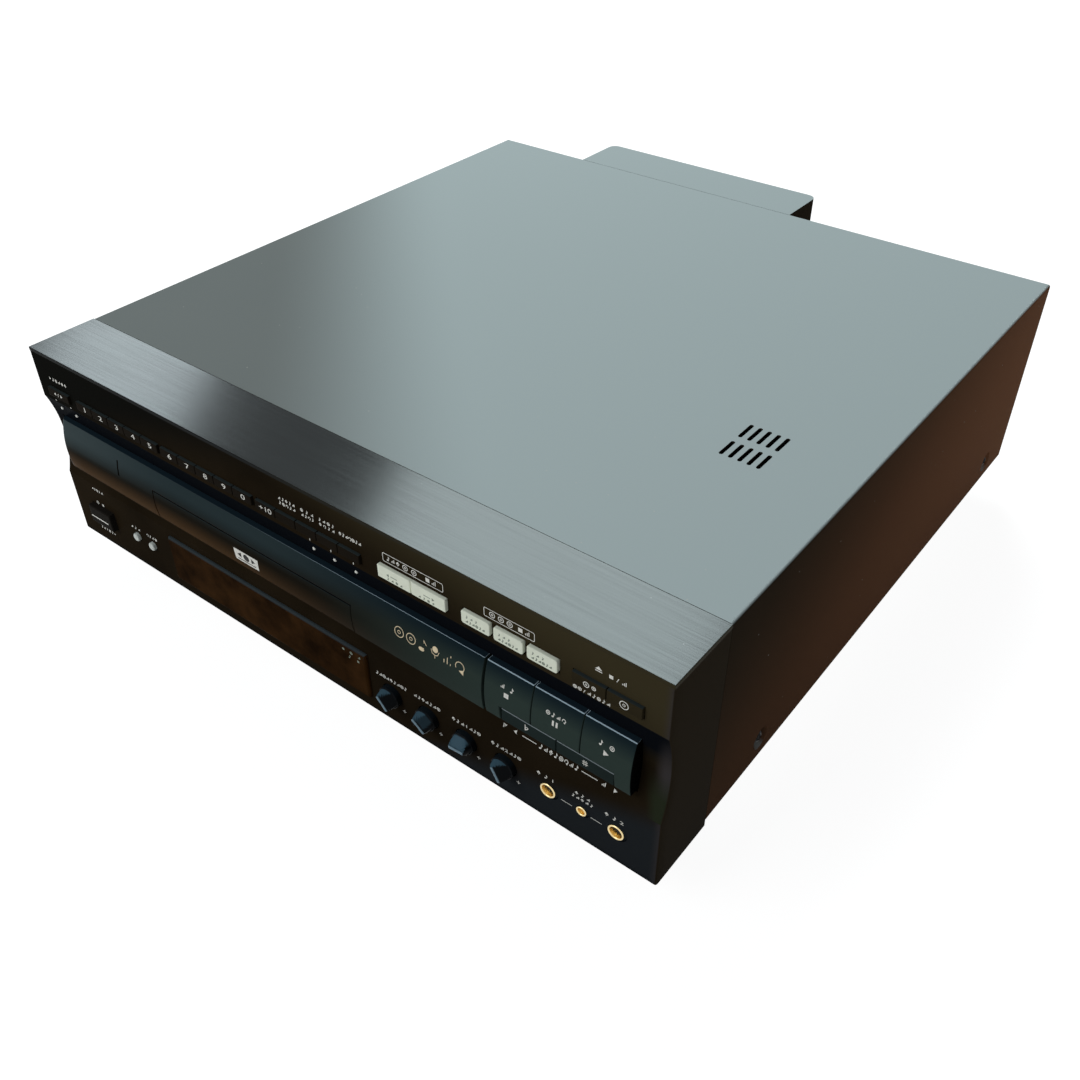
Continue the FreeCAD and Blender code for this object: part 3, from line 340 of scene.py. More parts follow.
def thickened(points, faces, inside):
    """Closed wall: the outer faces, the same faces at the inside places, and a face
    between the two along every edge that has a face on one side only."""
    spots, number = np.unique(np.round(points, 4), axis=0, return_inverse=True)
    faces = number.reshape(-1)[faces]
    sides = np.stack([faces, np.roll(faces, -1, 1)], -1).reshape(-1, 2)
    sides = sides[sides[:, 0] != sides[:, 1]]
    _, back, times = np.unique(np.sort(sides, 1), axis=0, return_inverse=True, return_counts=True)
    rim = sides[times[back.reshape(-1)] == 1]
    count = len(spots)
    walls = np.stack([rim[:, 1], rim[:, 0], rim[:, 0] + count, rim[:, 1] + count], -1)
    return (np.concatenate([spots, inside(spots)]),
            np.concatenate([faces, faces[:, ::-1] + count, walls]))


half, wall, depth, panel = 210.0, 3.0, 41.6, 126.7  # half width, wall, depth and foot
edge_round, heel_round, strip_thick = 0.8, 2.0, 2.0

# Holes for keys and window, as (left, right, upper, lower) edges of what stands in them.
side_slot, eject_slot = (-200.0, -181.0, 20.9, 26.2), (163.6, 197.6, 19.7, 26.0)
row_slots = [(-173.6, -103.0, 20.9, 26.2), (-100.4, -29.8, 20.9, 26.2), (-26.8, 43.8, 20.9, 26.2)]
pale_slots = [(x, x + 15.8, 19.1, 26.3) for x in (105.0, 105.0 + 17.8, 105.0 + 2 * 17.8)]
rocker_slot, power_slot = (55.5, 96.0, 19.1, 26.3), (-192.5, -172.0, 98.2, 110.2)
gap = 0.4
openings = [(a - gap, b + gap, c - gap, d + gap) for a, b, c, d in
            [side_slot, eject_slot, rocker_slot, power_slot] + row_slots + pale_slots]
window_hole, bar_hole = (-113.2, 35.7, 89.8, 114.2), (-202.0, 195.9, 42.0, 74.5)
openings += [window_hole, bar_hole]

# Round holes, as (right, drop, radius, half size of the square of cells each is cut from).
knob_places, knob_drop = [53.5 + 24.1 * n for n in range(4)], 106.0
jack_places, jack_drop = (151.0, 169.8, 188.4), 104.8
round_keys, round_drop = (-150.5, -136.1), 104.5
rounds = [(x, knob_drop, 6.8, 8.6) for x in knob_places]
rounds += [(x, jack_drop, radius, radius + spare) for x, radius, spare in
           zip(jack_places, (4.3, 2.8, 4.3), (1.9, 1.8, 1.9))]
rounds += [(x, round_drop, 3.0, 4.4) for x in round_keys]


def grid_lines(low, high, step, extra):
    """Grid lines from low to high: even ones, with those the openings need put in and
    any even one that would fall within 0.6 mm of those left out."""
    extra = np.unique(np.round(np.concatenate(extra), 3))
    even = np.linspace(low, high, int((high - low) / step) + 1)[1:-1]
    even = even[np.abs(even[:, None] - extra).min(1) > 0.6]
    return np.unique(np.concatenate([[low, high], extra, even]))


xs = grid_lines(-half + edge_round, half - edge_round, 7.0,
                [[edge for hole in openings for edge in hole[:2]], [-half + 1.6, half - 1.6]]
                + [np.linspace(x - h, x + h, 7) for x, _, _, h in rounds])
drops = grid_lines(strip_thick, panel - heel_round, 4.0,
                   [[edge for hole in openings for edge in hole[2:]],
                    np.linspace(cove_top, cove_foot, 27), [30.2, 30.8, 82.7, 83.3]]
                   + [np.linspace(d - h, d + h, 7) for _, d, _, h in rounds])

# The outline, as (behind, drop): forward along the top, down the face and its cove, round
# the heel by a quarter circle, and back along the bottom. The face carries that outline
# from side to side and sets it back by r(1 - cos) at both ends, where x turns by r sin.
bend = np.radians(np.linspace(0, 90, 5))
shelf = np.linspace(0, 1, 7)
flats = len(shelf) - 1
heel = np.stack([heel_round * (1 - np.cos(bend)),
                 panel - heel_round + heel_round * np.sin(bend)], -1)
outline = np.concatenate([
    np.stack([depth * (1 - shelf[:-1]), np.full(flats, strip_thick)], -1),
    np.stack([cove(drops), drops], -1),
    heel[1:],
    np.stack([heel_round + (depth - heel_round) * shelf[1:], np.full(flats, panel)], -1)])
corner_x = half - edge_round + edge_round * np.sin(bend[1:])
corner_back = edge_round * (1 - np.cos(bend[1:]))
across = np.concatenate([-corner_x[::-1], xs, corner_x])
set_back = np.concatenate([corner_back[::-1], np.zeros(len(xs)), corner_back])
reach = np.minimum(outline[:, :1] + set_back, depth)
face = np.stack([np.broadcast_to(across, reach.shape), reach,
                 np.broadcast_to(outline[:, 1:], reach.shape)], -1)

# Cells inside the holes go; a round hole gets a ring of cells from its square to its rim.
middle_x = (face[0, 1:, 0] + face[0, :-1, 0]) / 2
middle_drop = (outline[1:, 1] + outline[:-1, 1]) / 2
on_face = outline[1:, 1] > outline[:-1, 1]
kept = np.ones((len(outline) - 1, len(across) - 1), bool)
for left, right, upper, lower in openings + [(x - h, x + h, d - h, d + h) for x, d, _, h in rounds]:
    kept &= ~(((middle_x > left) & (middle_x < right))[None, :]
              & ((middle_drop > upper) & (middle_drop < lower) & on_face)[:, None])
sheets = [(face, kept)]
for x, drop, radius, h in rounds:
    i = np.flatnonzero(np.abs(across - x) < h + 0.01)
    j = np.flatnonzero(np.abs(outline[:, 1] - drop) < h + 0.01)
    square = face[j[0]:j[-1] + 1, i[0]:i[-1] + 1]
    rim = np.concatenate([square[0, :-1], square[:-1, -1], square[-1, :0:-1], square[::-1, 0]])
    ray = rim - (x, 0, drop)
    ring = (x, 0, drop) + ray * (radius / np.linalg.norm(ray, axis=1))[:, None]
    sheets.append(np.stack([rim, (rim + ring) / 2, ring]))
for side in (0, -1):
    start = face[flats:-flats, side]
    stop = start.copy()
    stop[:, 1] = depth
    sheets.append(start[:, None] + (stop - start)[:, None] * shelf[None, :, None])


def wall_inside(spots):
    """The same point moved in behind the wall: 3 mm from the sides, the top, the bottom
    and the front's curve."""
    x, behind, drop = spots.T
    drop = np.clip(drop, strip_thick + wall, panel - wall)
    return np.stack([np.clip(x, wall - half, half - wall), np.maximum(behind, cove(drop, wall)),
                     drop], -1)


bezel_black = finish("bezel_black", (0.016, 0.011, 0.006), 0.22, specular=0.0004, mottle=0.25,
                     patch=0.05, grain=0.0009, raised=0.000006, vary=0.05)
# Painted light and shade: painted shade at the upper left, a painted warm reflection at the
# upper right and a cool one at the lower right, painted shade where the cove turns down, a
# painted sheen on its slopes by the right edge, and a painted brown highlight along the
# rounded side edges that runs on over the sides.
painted_warm_reflection_run = (1, 0, 4, 0.52, 0.74)
settled(bezel_black, (0.006, 0.006, 0.005), run=(-1, 0, 4, 0.54, 0.68))
settled(bezel_black, (0.046, 0.037, 0.019), run=painted_warm_reflection_run)
settled(bezel_black, (0.018, 0.021, 0.024), run=(1, 0, -3, 0.00, 0.05))
settled(bezel_black, (0.004, 0.005, 0.007), -0.04, -0.16)
settled(bezel_black, (0.044, 0.039, 0.040), -0.33, -0.02, run=(1, 1, 0, -0.0190, -0.0125))
settled(bezel_black, (0.022, 0.027, 0.015), 0.02, 0.20, run=(1, 1, 0, -0.0230, -0.0165))
for side in (-1, 1):
    settled(bezel_black, (0.028, 0.021, 0.013), run=(side, 0, 0, 0.2093, 0.2098))
made("bezel", *thickened(*joined(sheets), wall_inside), bezel_black, "bezel_black", "chassis",
     ["front_bezel"])


# ---- brushed top strip ----------------------------------------------------------------
# Dark anodised aluminium, brushed along its length and bonded on top of the moulding,
# with its upper edges cut back at the front and the ends.
def moulding(wide, high, corner, stations):
    """Closed form on a rounded rectangle. Each station is (drawn in across, drawn in up
    and down, distance behind); the rectangle's half sizes shrink by the first two, its
    corners turn through arcs, and the first and last stations close on the middle."""
    arc = np.radians(np.linspace(0, 90, 9))
    turn = np.concatenate([arc + start for start in np.radians((0, 90, 180, 270))])
    east, north = np.repeat((1, -1, -1, 1), len(arc)), np.repeat((1, 1, -1, -1), len(arc))
    rows = []
    for in_across, in_up, behind in stations:
        a, b = max(wide - in_across, 0), max(high - in_up, 0)
        c = min(max(corner - max(in_across, in_up, 0), 0), a, b)
        rows.append(np.stack([east * (a - c) + c * np.cos(turn), np.full(len(turn), behind),
                              north * (b - c) + c * np.sin(turn)], -1))
    grid = np.stack(rows)
    return np.concatenate([grid, grid[:, :1]], 1)


strip_deep = depth / 2
strip = moulding(half, strip_deep, 0.25, [
    (half, strip_deep, 0.0), (0.40, 0.40, 0.0), (0.22, 0.22, 0.0), (0.10, 0.10, 0.04),
    (0.03, 0.03, 0.12), (0, 0, 0.25), (0, 0, strip_thick), (half, strip_deep, strip_thick)])
strip[..., 2] = np.where(strip[..., 2] > strip_deep - 0.41, strip_deep, strip[..., 2])
strip = np.stack([strip[..., 0], strip[..., 2] + strip_deep, strip[..., 1]], -1)
brushed = finish("brushed_aluminium", (0.012, 0.013, 0.013), 0.22, specular=0.01, mottle=0.05,
                 patch=0.04, grain=0.0007, raised=0.000005, vary=0.04, stretch=(0.012, 1, 1),
                 Specular_Tint=(0.6, 0.6, 0.6, 1), Anisotropic=0.85)
# A painted warm reflection on the front edge towards the right, as on the moulding; the top keeps
# the metal's gleam.
settled(brushed, (0.040, 0.033, 0.017), run=painted_warm_reflection_run)
settled(brushed, (0.029, 0.033, 0.034), 0.7, 0.97, metal=1.0)
grain_way = node(brushed.node_tree, "ShaderNodeTangent", direction_type="UV_MAP", uv_map="across")
wire(brushed.node_tree, (grain_way, 0, brushed.node_tree.nodes["Principled BSDF"], "Tangent"))


def specks(material, colour, apart, radius):
    """Stray dust: a small dot round each of a scatter of points, about apart metres from
    one another in space, wherever the surface passes through the dot."""
    tree = material.node_tree
    place = node(tree, "ShaderNodeTexCoord")
    spread = node(tree, "ShaderNodeTexVoronoi", Scale=1 / apart)
    dot = node(tree, "ShaderNodeMapRange", From_Min=radius / apart, From_Max=0.5 * radius / apart,
               To_Max=0.8)
    wire(tree, (place, "Object", spread, "Vector"), (spread, "Distance", dot, "Value"))
    veiled(tree, tree.nodes["Principled BSDF"], dot, colour)


specks(brushed, (0.07, 0.075, 0.075), 0.009, 0.0003)
top_strip = made("top_strip", *joined([strip]), brushed, "brushed_trim", "chassis",
                 ["top_trim_strip"])
ends = np.zeros(len(top_strip.data.loops), int)
top_strip.data.loops.foreach_get("vertex_index", ends)
spots = np.zeros(len(top_strip.data.vertices) * 3)
top_strip.data.vertices.foreach_get("co", spots)
flat = spots.reshape(-1, 3)[ends][:, [1, 0]]
top_strip.data.uv_layers.new(name="across").data.foreach_set("uv", flat.ravel())


# ---- upper row of keys ----------------------------------------------------------------
# Small push keys moulded in black, side by side in long slots, with a lip behind the
# panel and a stem to the switch.
key_black = finish("key_black", (0.012, 0.009, 0.006), 0.26, specular=0.002, grain=0.0005,
                   raised=0.000008)
# A painted warm reflection towards the upper right, as on the moulding, and a painted highlight on
# the upper edges.
settled(key_black, (0.034, 0.027, 0.014), run=painted_warm_reflection_run)
settled(key_black, (0.028, 0.036, 0.036), 0.55, 0.95, rougher=0.1)
key_pale = finish("key_pale", (0.80, 0.84, 0.70), 0.42, specular=0.2, mottle=0.04, patch=0.004,
                  grain=0.0006, raised=0.00001)


def eased(radius, front):
    """Stations of a quarter-round rim: drawn in by r(1 - sin), back by r(1 - cos), after
    one a little further in that keeps the face's shading flat."""
    drawn, back = ([radius * (1 - turn(t)) for t in np.radians(np.linspace(0, 90, 5))]
                   for turn in (math.sin, math.cos))
    return [(radius + 0.12, radius + 0.12, front)] + [(d, d, front + b)
                                                      for d, b in zip(drawn, back)]


key_proud = 1.5


def push_key(name, place, material, slot, proud=key_proud, corner=0.25, rim=0.4):
    """Key as one moulding: flat face, eased rim, sides through the panel, lip, stem. Its
    place is given as (left, right, upper, lower)."""
    x0, x1, drop0, drop1 = place
    wide, high = (x1 - x0) / 2, (drop1 - drop0) / 2
    stations = [(wide, high, -proud)] + eased(rim, -proud)
    stations += [(0, 0, 3.4), (0, -1, 3.4), (0, -1, 4.6), (wide - 1.5, high - 1.5, 4.6),
                 (wide - 1.5, high - 1.5, 9.5), (wide, high, 9.5)]
    grid = moulding(wide, high, corner, stations) + ((x0 + x1) / 2, 0, (drop0 + drop1) / 2)
    return made(name + "_cap", *joined([grid]), material, slot, name, [name])


push_key("key_ab", side_slot, key_black, "key_black")
key_step, key_wide = 14.2, 13.8
row_keys = [["key_%d" % digit for digit in (1, 2, 3, 4, 5)],
            ["key_%d" % digit for digit in (6, 7, 8, 9, 0)],
            ["key_plus_10", "key_mode_1", "key_mode_2", "key_mode_3", "key_mode_4"]]
for (left, _, upper, lower), keys in zip(row_slots, row_keys):
    for number, name in enumerate(keys):
        x = left + key_step * number
        push_key(name, (x, x + key_wide, upper, lower), key_black, "key_black")
for name, place in zip(("pale_key_left", "pale_key_middle", "pale_key_right"), pale_slots):
    push_key(name, place, key_pale, "key_pale", corner=1.3)
left, right, upper, lower = eject_slot
push_key("eject_key_small", (left, 180.2, upper, lower), key_black, "key_black")
push_key("eject_key_large", (180.6, right, upper, lower), key_black, "key_black")


# ---- pale two-way key -----------------------------------------------------------------
# One pale moulding with a groove across its middle, so that it tips to either side on
# the pivot behind it.
def two_way(place, corner, front, groove, back):
    """Two half keys 0.3 mm either side of the middle, joined by a core whose front is
    sunk by the groove. The place is given as (left, right, upper, lower)."""
    x0, x1, drop0, drop1 = place
    middle, drop = (x0 + x1) / 2, (drop0 + drop1) / 2
    wide, high = (x1 - x0) / 4 - 0.15, (drop1 - drop0) / 2
    half_key = moulding(wide, high, corner, [(wide, high, front)] + eased(0.4, front)
                        + [(0, 0, back), (wide, high, back)])
    core = moulding(1.5, high - 0.1, 0.1, [(1.5, high, front + groove), (0, 0, front + groove),
                                           (0, 0, back - 0.1), (1.5, high, back - 0.1)])
    return joined([half_key + (middle + side * (wide + 0.3), 0, drop) for side in (-1, 1)]
                  + [core + (middle, 0, drop)])


rocker = two_way(rocker_slot, 0.6, -key_proud, 0.5, 3.4)
made("pale_rocker_cap", *rocker, key_pale, "key_pale", "pale_rocker", ["pale_rocker"])


# ---- tray fronts and transport buttons ------------------------------------------------
# Bars moulded to one bulging curve that fills the cove: the long front of the large
# tray, the small tray's door let into it, and three big buttons that go on with it.
bar_black = finish("bar_black", (0.010, 0.008, 0.005), 0.20, specular=0.002, mottle=0.15,
                   patch=0.05, grain=0.0007, raised=0.000005, vary=0.04)
# Blue black, with painted reflections: cool to the right, warm where it turns down at the
# left and paler where it turns up at the left; a painted highlight along the upper edge with
# its top side painted darker, and painted shade on the rim over the door and at the right end.
settled(bar_black, (0.034, 0.051, 0.045), run=(1, 0, 0, 0.00, 0.14))
settled(bar_black, (0.058, 0.028, 0.008), 0.04, -0.14, run=(-1, 0, 0, -0.09, 0.10))
settled(bar_black, (0.008, 0.017, 0.023), 0.16, 0.34, rougher=0.05)
settled(bar_black, (0.026, 0.040, 0.044), 0.06, 0.26, run=(-1, 0, 0, -0.09, 0.04))
settled(bar_black, (0.050, 0.068, 0.072), 0.02, 0.22, run=(-1, 0, 0, 0.09, 0.20))
settled(bar_black, (0.420, 0.540, 0.620), 0.43, 0.60, run=(1, 0, 20, 1.95, 2.13), least=0.03)
settled(bar_black, (0.012, 0.024, 0.034), 0.93, 0.99)
settled(bar_black, (0.003, 0.003, 0.003), 0.42, 0.52, run=(0, 0, -1, -0.0912, -0.0896))
settled(bar_black, (0.002, 0.002, 0.002), run=(1, 0, 0, 0.19490, 0.19535))
bar_upper, bar_lower, bar_back = 43.0, 73.5, 8.0


def bulge(drop):
    """Distance behind the face on the circle through (0.7, 43), (-2.7, 58.5), (-1.8, 73.5),
    whose centre is as far from the first of them as from the other two."""
    (a, b), (c, d), (e, f) = (0.7, bar_upper), (-2.7, 58.5), (-1.8, bar_lower)
    m = np.array([[c - a, d - b], [e - a, f - b]]) * 2
    centre = np.linalg.solve(m, [c * c + d * d - a * a - b * b, e * e + f * f - a * a - b * b])
    radius = math.hypot(a - centre[0], b - centre[1])
    return centre[0] - np.sqrt(radius ** 2 - (np.asarray(drop, float) - centre[1]) ** 2)


end_round, end_start = 4.0, -197.0


def bar_piece(name, body, columns, rows, left_out, stands_for):
    """Closed bar: its front follows the bulge, set back at the far left end by a quarter
    round, r - sqrt(r squared - x squared) with x from where it starts. Its back is flat
    8 mm behind the face, and cells inside the left-out rectangles are missing."""
    x, drop = np.meshgrid(columns, rows)
    beyond = np.maximum(end_start - x, 0)
    front = np.stack([x, bulge(drop) + end_round - np.sqrt(end_round ** 2 - beyond ** 2), drop], -1)
    keep = np.ones((len(rows) - 1, len(columns) - 1), bool)
    middle_x, middle_drop = (columns[1:] + columns[:-1]) / 2, (rows[1:] + rows[:-1]) / 2
    for left, right, upper, lower in left_out:
        keep &= ~(((middle_drop > upper) & (middle_drop < lower))[:, None]
                  & ((middle_x > left) & (middle_x < right))[None, :])

    def rear(spots):
        """The same point on the flat back."""
        return np.stack([spots[:, 0], np.full(len(spots), bar_back), spots[:, 2]], -1)
    return made(name, *thickened(*joined([(front, keep)]), rear), bar_black, "front_blue_black",
                body, stands_for, crease=25, bevel=0.5)


def between(low, high, step, *extra):
    """Even grid lines from low to high with extra ones put in."""
    even = np.linspace(low, high, max(2, round((high - low) / step) + 1))
    if extra:
        even = even[np.abs(even[:, None] - np.array(extra)).min(1) > step * 0.3]
    return np.unique(np.concatenate([[low, high], even, extra]))


# The long bar leaves out the door's place, open below, and a fine groove near its left end.
below = 75.0  # any drop under the bars' lower edge
door_left, door_right, door_upper = -117.1, 34.4, 55.1
groove_left, groove_right, groove_upper, groove_lower = -147.9, -146.9, 49.0, 58.5
long_columns = between(end_start, 115.6, 12, groove_left, groove_right, door_left, door_right)
bar_piece("large_tray_bar", "large_tray",
          np.sort(np.append(long_columns, (-201, -200.8, -200.2, -199.2, -198.1))),
          between(bar_upper, bar_lower, 2, groove_upper, door_upper, groove_lower),
          [(door_left, door_right, door_upper, below),
           (groove_left, groove_right, groove_upper, groove_lower)], ["large_tray_front"])
groove = moulding(0.6, 4.8, 0.05, [(0.6, 4.8, -0.4), (0, 0, -0.4), (0, 0, 4.0), (0.6, 4.8, 4.0)])
made("large_tray_groove", *joined([groove + (-147.4, 0, 53.75)]), bar_black, "front_blue_black",
     "large_tray")
bar_piece("small_tray_door", "small_tray", between(door_left + 0.4, door_right - 0.4, 12),
          between(door_upper + 0.4, bar_lower, 2), [], ["small_tray_front"])

# The buttons leave out the pitch rocker's notch, which makes the middle one shorter.
notch_left, notch_right, notch_upper = 125.6, 187.0, 64.4
for number, name in enumerate(("stop_button", "pause_button", "play_button")):
    left = 117.0 + 26.3 * number
    right = left + 25.9
    steps = [edge for edge in (notch_left, notch_right) if left < edge < right]
    rows = (between(bar_upper, bar_lower, 2, notch_upper) if steps
            else between(bar_upper, notch_upper, 2))
    bar_piece(name + "_cap", name, between(left, right, 5, *steps), rows,
              [(notch_left, notch_right, notch_upper, below)], [name])


# ---- pitch rocker ---------------------------------------------------------------------
# Flat two-way key under the transport buttons, moulded in one with a groove across its
# middle, so that it tips to either side.
pitch_proud = 1.8
rocker = two_way((126.0, 186.6, 66.0, 73.4), 0.3, -pitch_proud, 0.6, 8.0)
rocker_black = finish("rocker_black", (0.017, 0.026, 0.025), 0.22, specular=0.002, mottle=0.15,
                      patch=0.05, grain=0.0007, raised=0.000005)
# A painted highlight on the upper rim, and painted shade on its top side.
settled(rocker_black, (0.260, 0.300, 0.320), 0.20, 0.50)
settled(rocker_black, (0.012, 0.013, 0.014), 0.90, 0.98)
made("pitch_rocker_cap", *rocker, rocker_black, "key_black", "pitch_rocker", ["pitch_rocker"])


# ---- power key, round keys and window -------------------------------------------------
# The power key stands well proud; two small pale round keys sit beside it. The display
# window is a smoked plate with a bevelled rim, held by a boss in the panel's opening.
power_black = finish("power_black", (0.014, 0.012, 0.010), 0.26, specular=0.002, grain=0.0005,
                     raised=0.000008)
power_proud = 3.4
push_key("power_key", power_slot, power_black, "key_black", proud=power_proud, rim=0.8, corner=0.5)
silver = finish("round_key_grey", (0.56, 0.60, 0.56), 0.36, specular=0.3, mottle=0.05, patch=0.003)
button_radius = 2.6
for name, x in zip(("round_key_left", "round_key_right"), round_keys):
    push_key(name, (x - button_radius, x + button_radius, round_drop - button_radius,
                    round_drop + button_radius), silver, "key_pale", proud=1.8, rim=0.7,
             corner=button_radius)
smoked = finish("smoked_window", (0.030, 0.013, 0.004), 0.07, specular=0.0008, mottle=0.60,
                patch=0.018, grain=0.002, raised=0.000002, vary=0.02)
# A painted highlight on the upward bevel of the rim.
settled(smoked, (0.038, 0.048, 0.053), 0.25, 0.6)
wide, high, window_proud, window_thick = 77.25, 15.0, 2.0, 3.0
window = moulding(wide, high, 0.6, [
    (wide, high, -window_proud), (1.5, 1.5, -window_proud), (1.3, 1.3, -window_proud),
    (1.05, 1.05, -1.92), (0.1, 0.1, -0.95), (0, 0, -0.75), (0, 0, 0.0), (3, 3, 0.0),
    (3, 3, window_thick), (wide, high, window_thick)])
made("window_plate", *joined([window + (-38.75, 0, 102.0)]), smoked, "smoked_window", "chassis",
     ["display_window"])


# ---- level knobs ----------------------------------------------------------------------
# Four rotary knobs, each one moulding pushed onto the shaft of its control behind the
# panel: a round skirt with a wedge-shaped grip across it.
knob_black = finish("knob_black", (0.005, 0.006, 0.007), 0.18, specular=0.02, grain=0.0005,
                    raised=0.000006)
# Painted highlights: paler where the grip turns up, and bright along its crest.
settled(knob_black, (0.050, 0.100, 0.135), 0.50, 0.70, run=(0, -1, 0, 0.2276, 0.2281), least=0.04)
settled(knob_black, (0.200, 0.290, 0.350), run=(0, -1, 0, 0.2321, 0.2324))
skirt_radius, skirt_tall, skirt_behind, knob_tall = 6.4, 3.0, 3.0, 8.0


def knob(name, x, turned):
    """Radius at each angle and height: the skirt's 6.4 mm, and above it the lesser of a
    circle, 6 mm at the foot and 4.5 mm at the crest, and a wedge whose half width, over
    the cosine of the angle, falls from 5.4 mm to 0.5 mm; both ease in at the crest."""
    angle = np.radians(np.linspace(0, 360, 97))
    rows = [(0.0, -skirt_behind), (skirt_radius, -skirt_behind), (skirt_radius, 2.6), (6.28, 2.88),
            (6.0, skirt_tall)]
    for high in (skirt_tall, 3.3, 4.0, 5.0, 6.0, 7.0, 7.7, 7.93, knob_tall):
        ease = max(0.0, high - 7.7) * 1.2
        above = high - skirt_tall
        wedge = (5.4 - 0.98 * above + 0.15) / np.maximum(np.abs(np.cos(angle)), 1e-3)
        rows.append((np.minimum(6.0 - 0.30 * above - ease, wedge - ease * 1.2), high))
    rows.append((0.0, knob_tall))
    spin = math.radians(turned)
    u, v = (np.stack([r * way(angle) for r, _ in rows]) for way in (np.cos, np.sin))
    behind = np.stack([np.full(len(angle), -high) for _, high in rows])
    grid = np.stack([x + (u * math.cos(spin) - v * math.sin(spin)), behind,
                     knob_drop + (u * math.sin(spin) + v * math.cos(spin))], -1)
    made(name + "_cap", *joined([grid]), knob_black, "knob_black", name, [name], crease=28)


for number, turned in enumerate((40.0, 52.0, 95.0, 28.0)):
    knob("knob_%d" % (number + 1), knob_places[number], -turned)


# ---- microphone sockets ---------------------------------------------------------------
# Gilt bushes with a rolled rim, each held in a black collar on the panel, with a lined
# socket body and its spring contact behind.
gilt = finish("jack_gilt", (0.80, 0.64, 0.34), 0.22, metal=1.0, mottle=0.08, patch=0.002,
              grain=0.0003)


def turned_ring(x, drop, profile, around=48):
    """Profile of (radius, distance behind) carried round a centre; it may be closed."""
    angle = np.radians(np.linspace(0, 360, around + 1))
    radius, behind = (column[:, None] for column in np.array(profile, float).T)
    return np.stack([x + radius * np.cos(angle), behind + 0 * angle,
                     drop + radius * np.sin(angle)], -1)


bushes, linings, collars, contacts = [], [], [], []
for x, rim, bore in zip(jack_places, (4.3, 2.8, 4.3), (3.25, 1.85, 3.25)):
    lip, outer, inner = (rim - bore) / 2, rim + 0.01, bore + 0.02
    roll = [(rim - lip + lip * math.sin(t), -1.0 + lip * (1 - math.cos(t)))
            for t in np.radians(np.linspace(-80, 90, 9))]
    bushes.append(turned_ring(x, jack_drop, [
        (bore, 31.0)] + roll + [(rim, 3.0), (outer, 31.0), (bore, 31.0)]))
    linings.append(turned_ring(x, jack_drop, [
        (inner, 2.2), (bore - 0.35, 2.4), (bore - 0.4, 29.0), (0.0, 29.0), (0.0, 30.0),
        (inner, 30.0), (inner, 2.2)]))
    collars.append(turned_ring(x, jack_drop, [
        (outer, 2.0), (outer, -0.2), (rim + 0.3, -0.45), (rim + 1.0, -0.3), (rim + 1.35, 0.0),
        (rim + 1.35, 0.6), (outer, 2.0)]))
    contacts.append(turned_ring(x, jack_drop, [
        (0.0, 9.0), (bore * 0.30, 9.0), (bore * 0.45, 9.6), (bore * 0.45, 12.0), (0.0, 12.0),
        (0.0, 9.0)], 20) + (bore * 0.35, 0, bore * 0.45))
made("jack_bushes", *joined(bushes), gilt, "jack_gilt", "chassis", ["jacks"])
made("jack_linings", *joined(linings), socket_plastic, "socket_black", "chassis")
made("jack_collars", *joined(collars), bezel_black, "bezel_black", "chassis")
made("jack_contacts", *joined(contacts), gilt, "jack_gilt", "chassis")


# ---- top cover and rear housing -------------------------------------------------------
# Sheet steel folded over both sides and painted in fine satin black; the housing at the
# back is the same sheet and paint. The paint has a slight orange-peel grain.
cover_paint = finish("cover_paint", (0.028, 0.021, 0.014), 0.20, specular=0.0001, mottle=0.12,
                     patch=0.09, grain=0.0007, raised=0.000012, vary=0.04)
# A painted warm reflection on the right side towards the rear, and a painted pale reflection
# on top that thins out towards the front and the left.
settled(cover_paint, (0.165, 0.073, 0.036), run=(40, 1, -1.5, 7.98, 8.45))
settled(cover_paint, (0.300, 0.351, 0.355), 0.5, 0.98, rougher=0.20, run=(1, 1, 0, -0.26, -0.09),
        least=0.38)
specks(cover_paint, (0.40, 0.40, 0.37), 0.011, 0.0004)
dress(cover_paint, "top_cover", "rear_housing")


# ---- case screws ----------------------------------------------------------------------
# Blackened steel screws with a domed head and a pressed cross recess: one in each dimple
# of the cover's sides, and a row along its rear edge.
screw_black = finish("screw_black", (0.016, 0.015, 0.014), 0.35, specular=0.05)
head_radius, head_high, shank_radius, shank_long = 3.5, 2.0, 1.5, 6.5


def screw():
    """Screw along its own axis, as (right, up, out from the seat) in millimetres. The head
    is a dome, 2 - 1.5 (r / 3.5) to the power 2.6; inside 2 mm of the axis it falls away
    along two crossed arms 0.9 mm wide. The shank is straight, 1.5 mm in radius."""
    angle = np.radians(np.linspace(0, 360, 65))
    rows = []
    for r in (0.0, 0.3, 0.5, 0.8, 1.2, 1.6, 1.9, 2.15, 2.5, 2.9, 3.2, 3.4, 3.5):
        off_arm = np.minimum(np.abs(r * np.cos(angle)), np.abs(r * np.sin(angle)))
        deep = np.clip((0.55 - off_arm) / 0.15, 0, 1) * np.clip((2.1 - r) / 0.3, 0, 1)
        dome = head_high - 1.5 * (r / head_radius) ** 2.6
        rows.append((r, dome - deep * (1.1 - 0.3 * r)))
    rows += [(head_radius, 0), (shank_radius, 0), (shank_radius, -shank_long), (0, -shank_long)]
    return np.stack([np.stack([r * np.cos(angle), r * np.sin(angle), high + 0 * angle], -1)
                     for r, high in rows])


side_seat, side_drop, rear_seat, rear_drop = 207.8, 110.0, 416.7, 8.0
right, up, out = np.moveaxis(screw(), -1, 0)
screws = [np.stack([side * (side_seat + out), at + right, side_drop + up], -1)
          for side in (-1, 1) for at in (90.0, 383.4)]
screws += [np.stack([x + right, rear_seat + out, rear_drop + up], -1)
           for x in (-190.0, -150.0, 50.0, 190.0)]
made("screws", *joined(screws), screw_black, "screw_black", "chassis", ["case_screws"], crease=40)


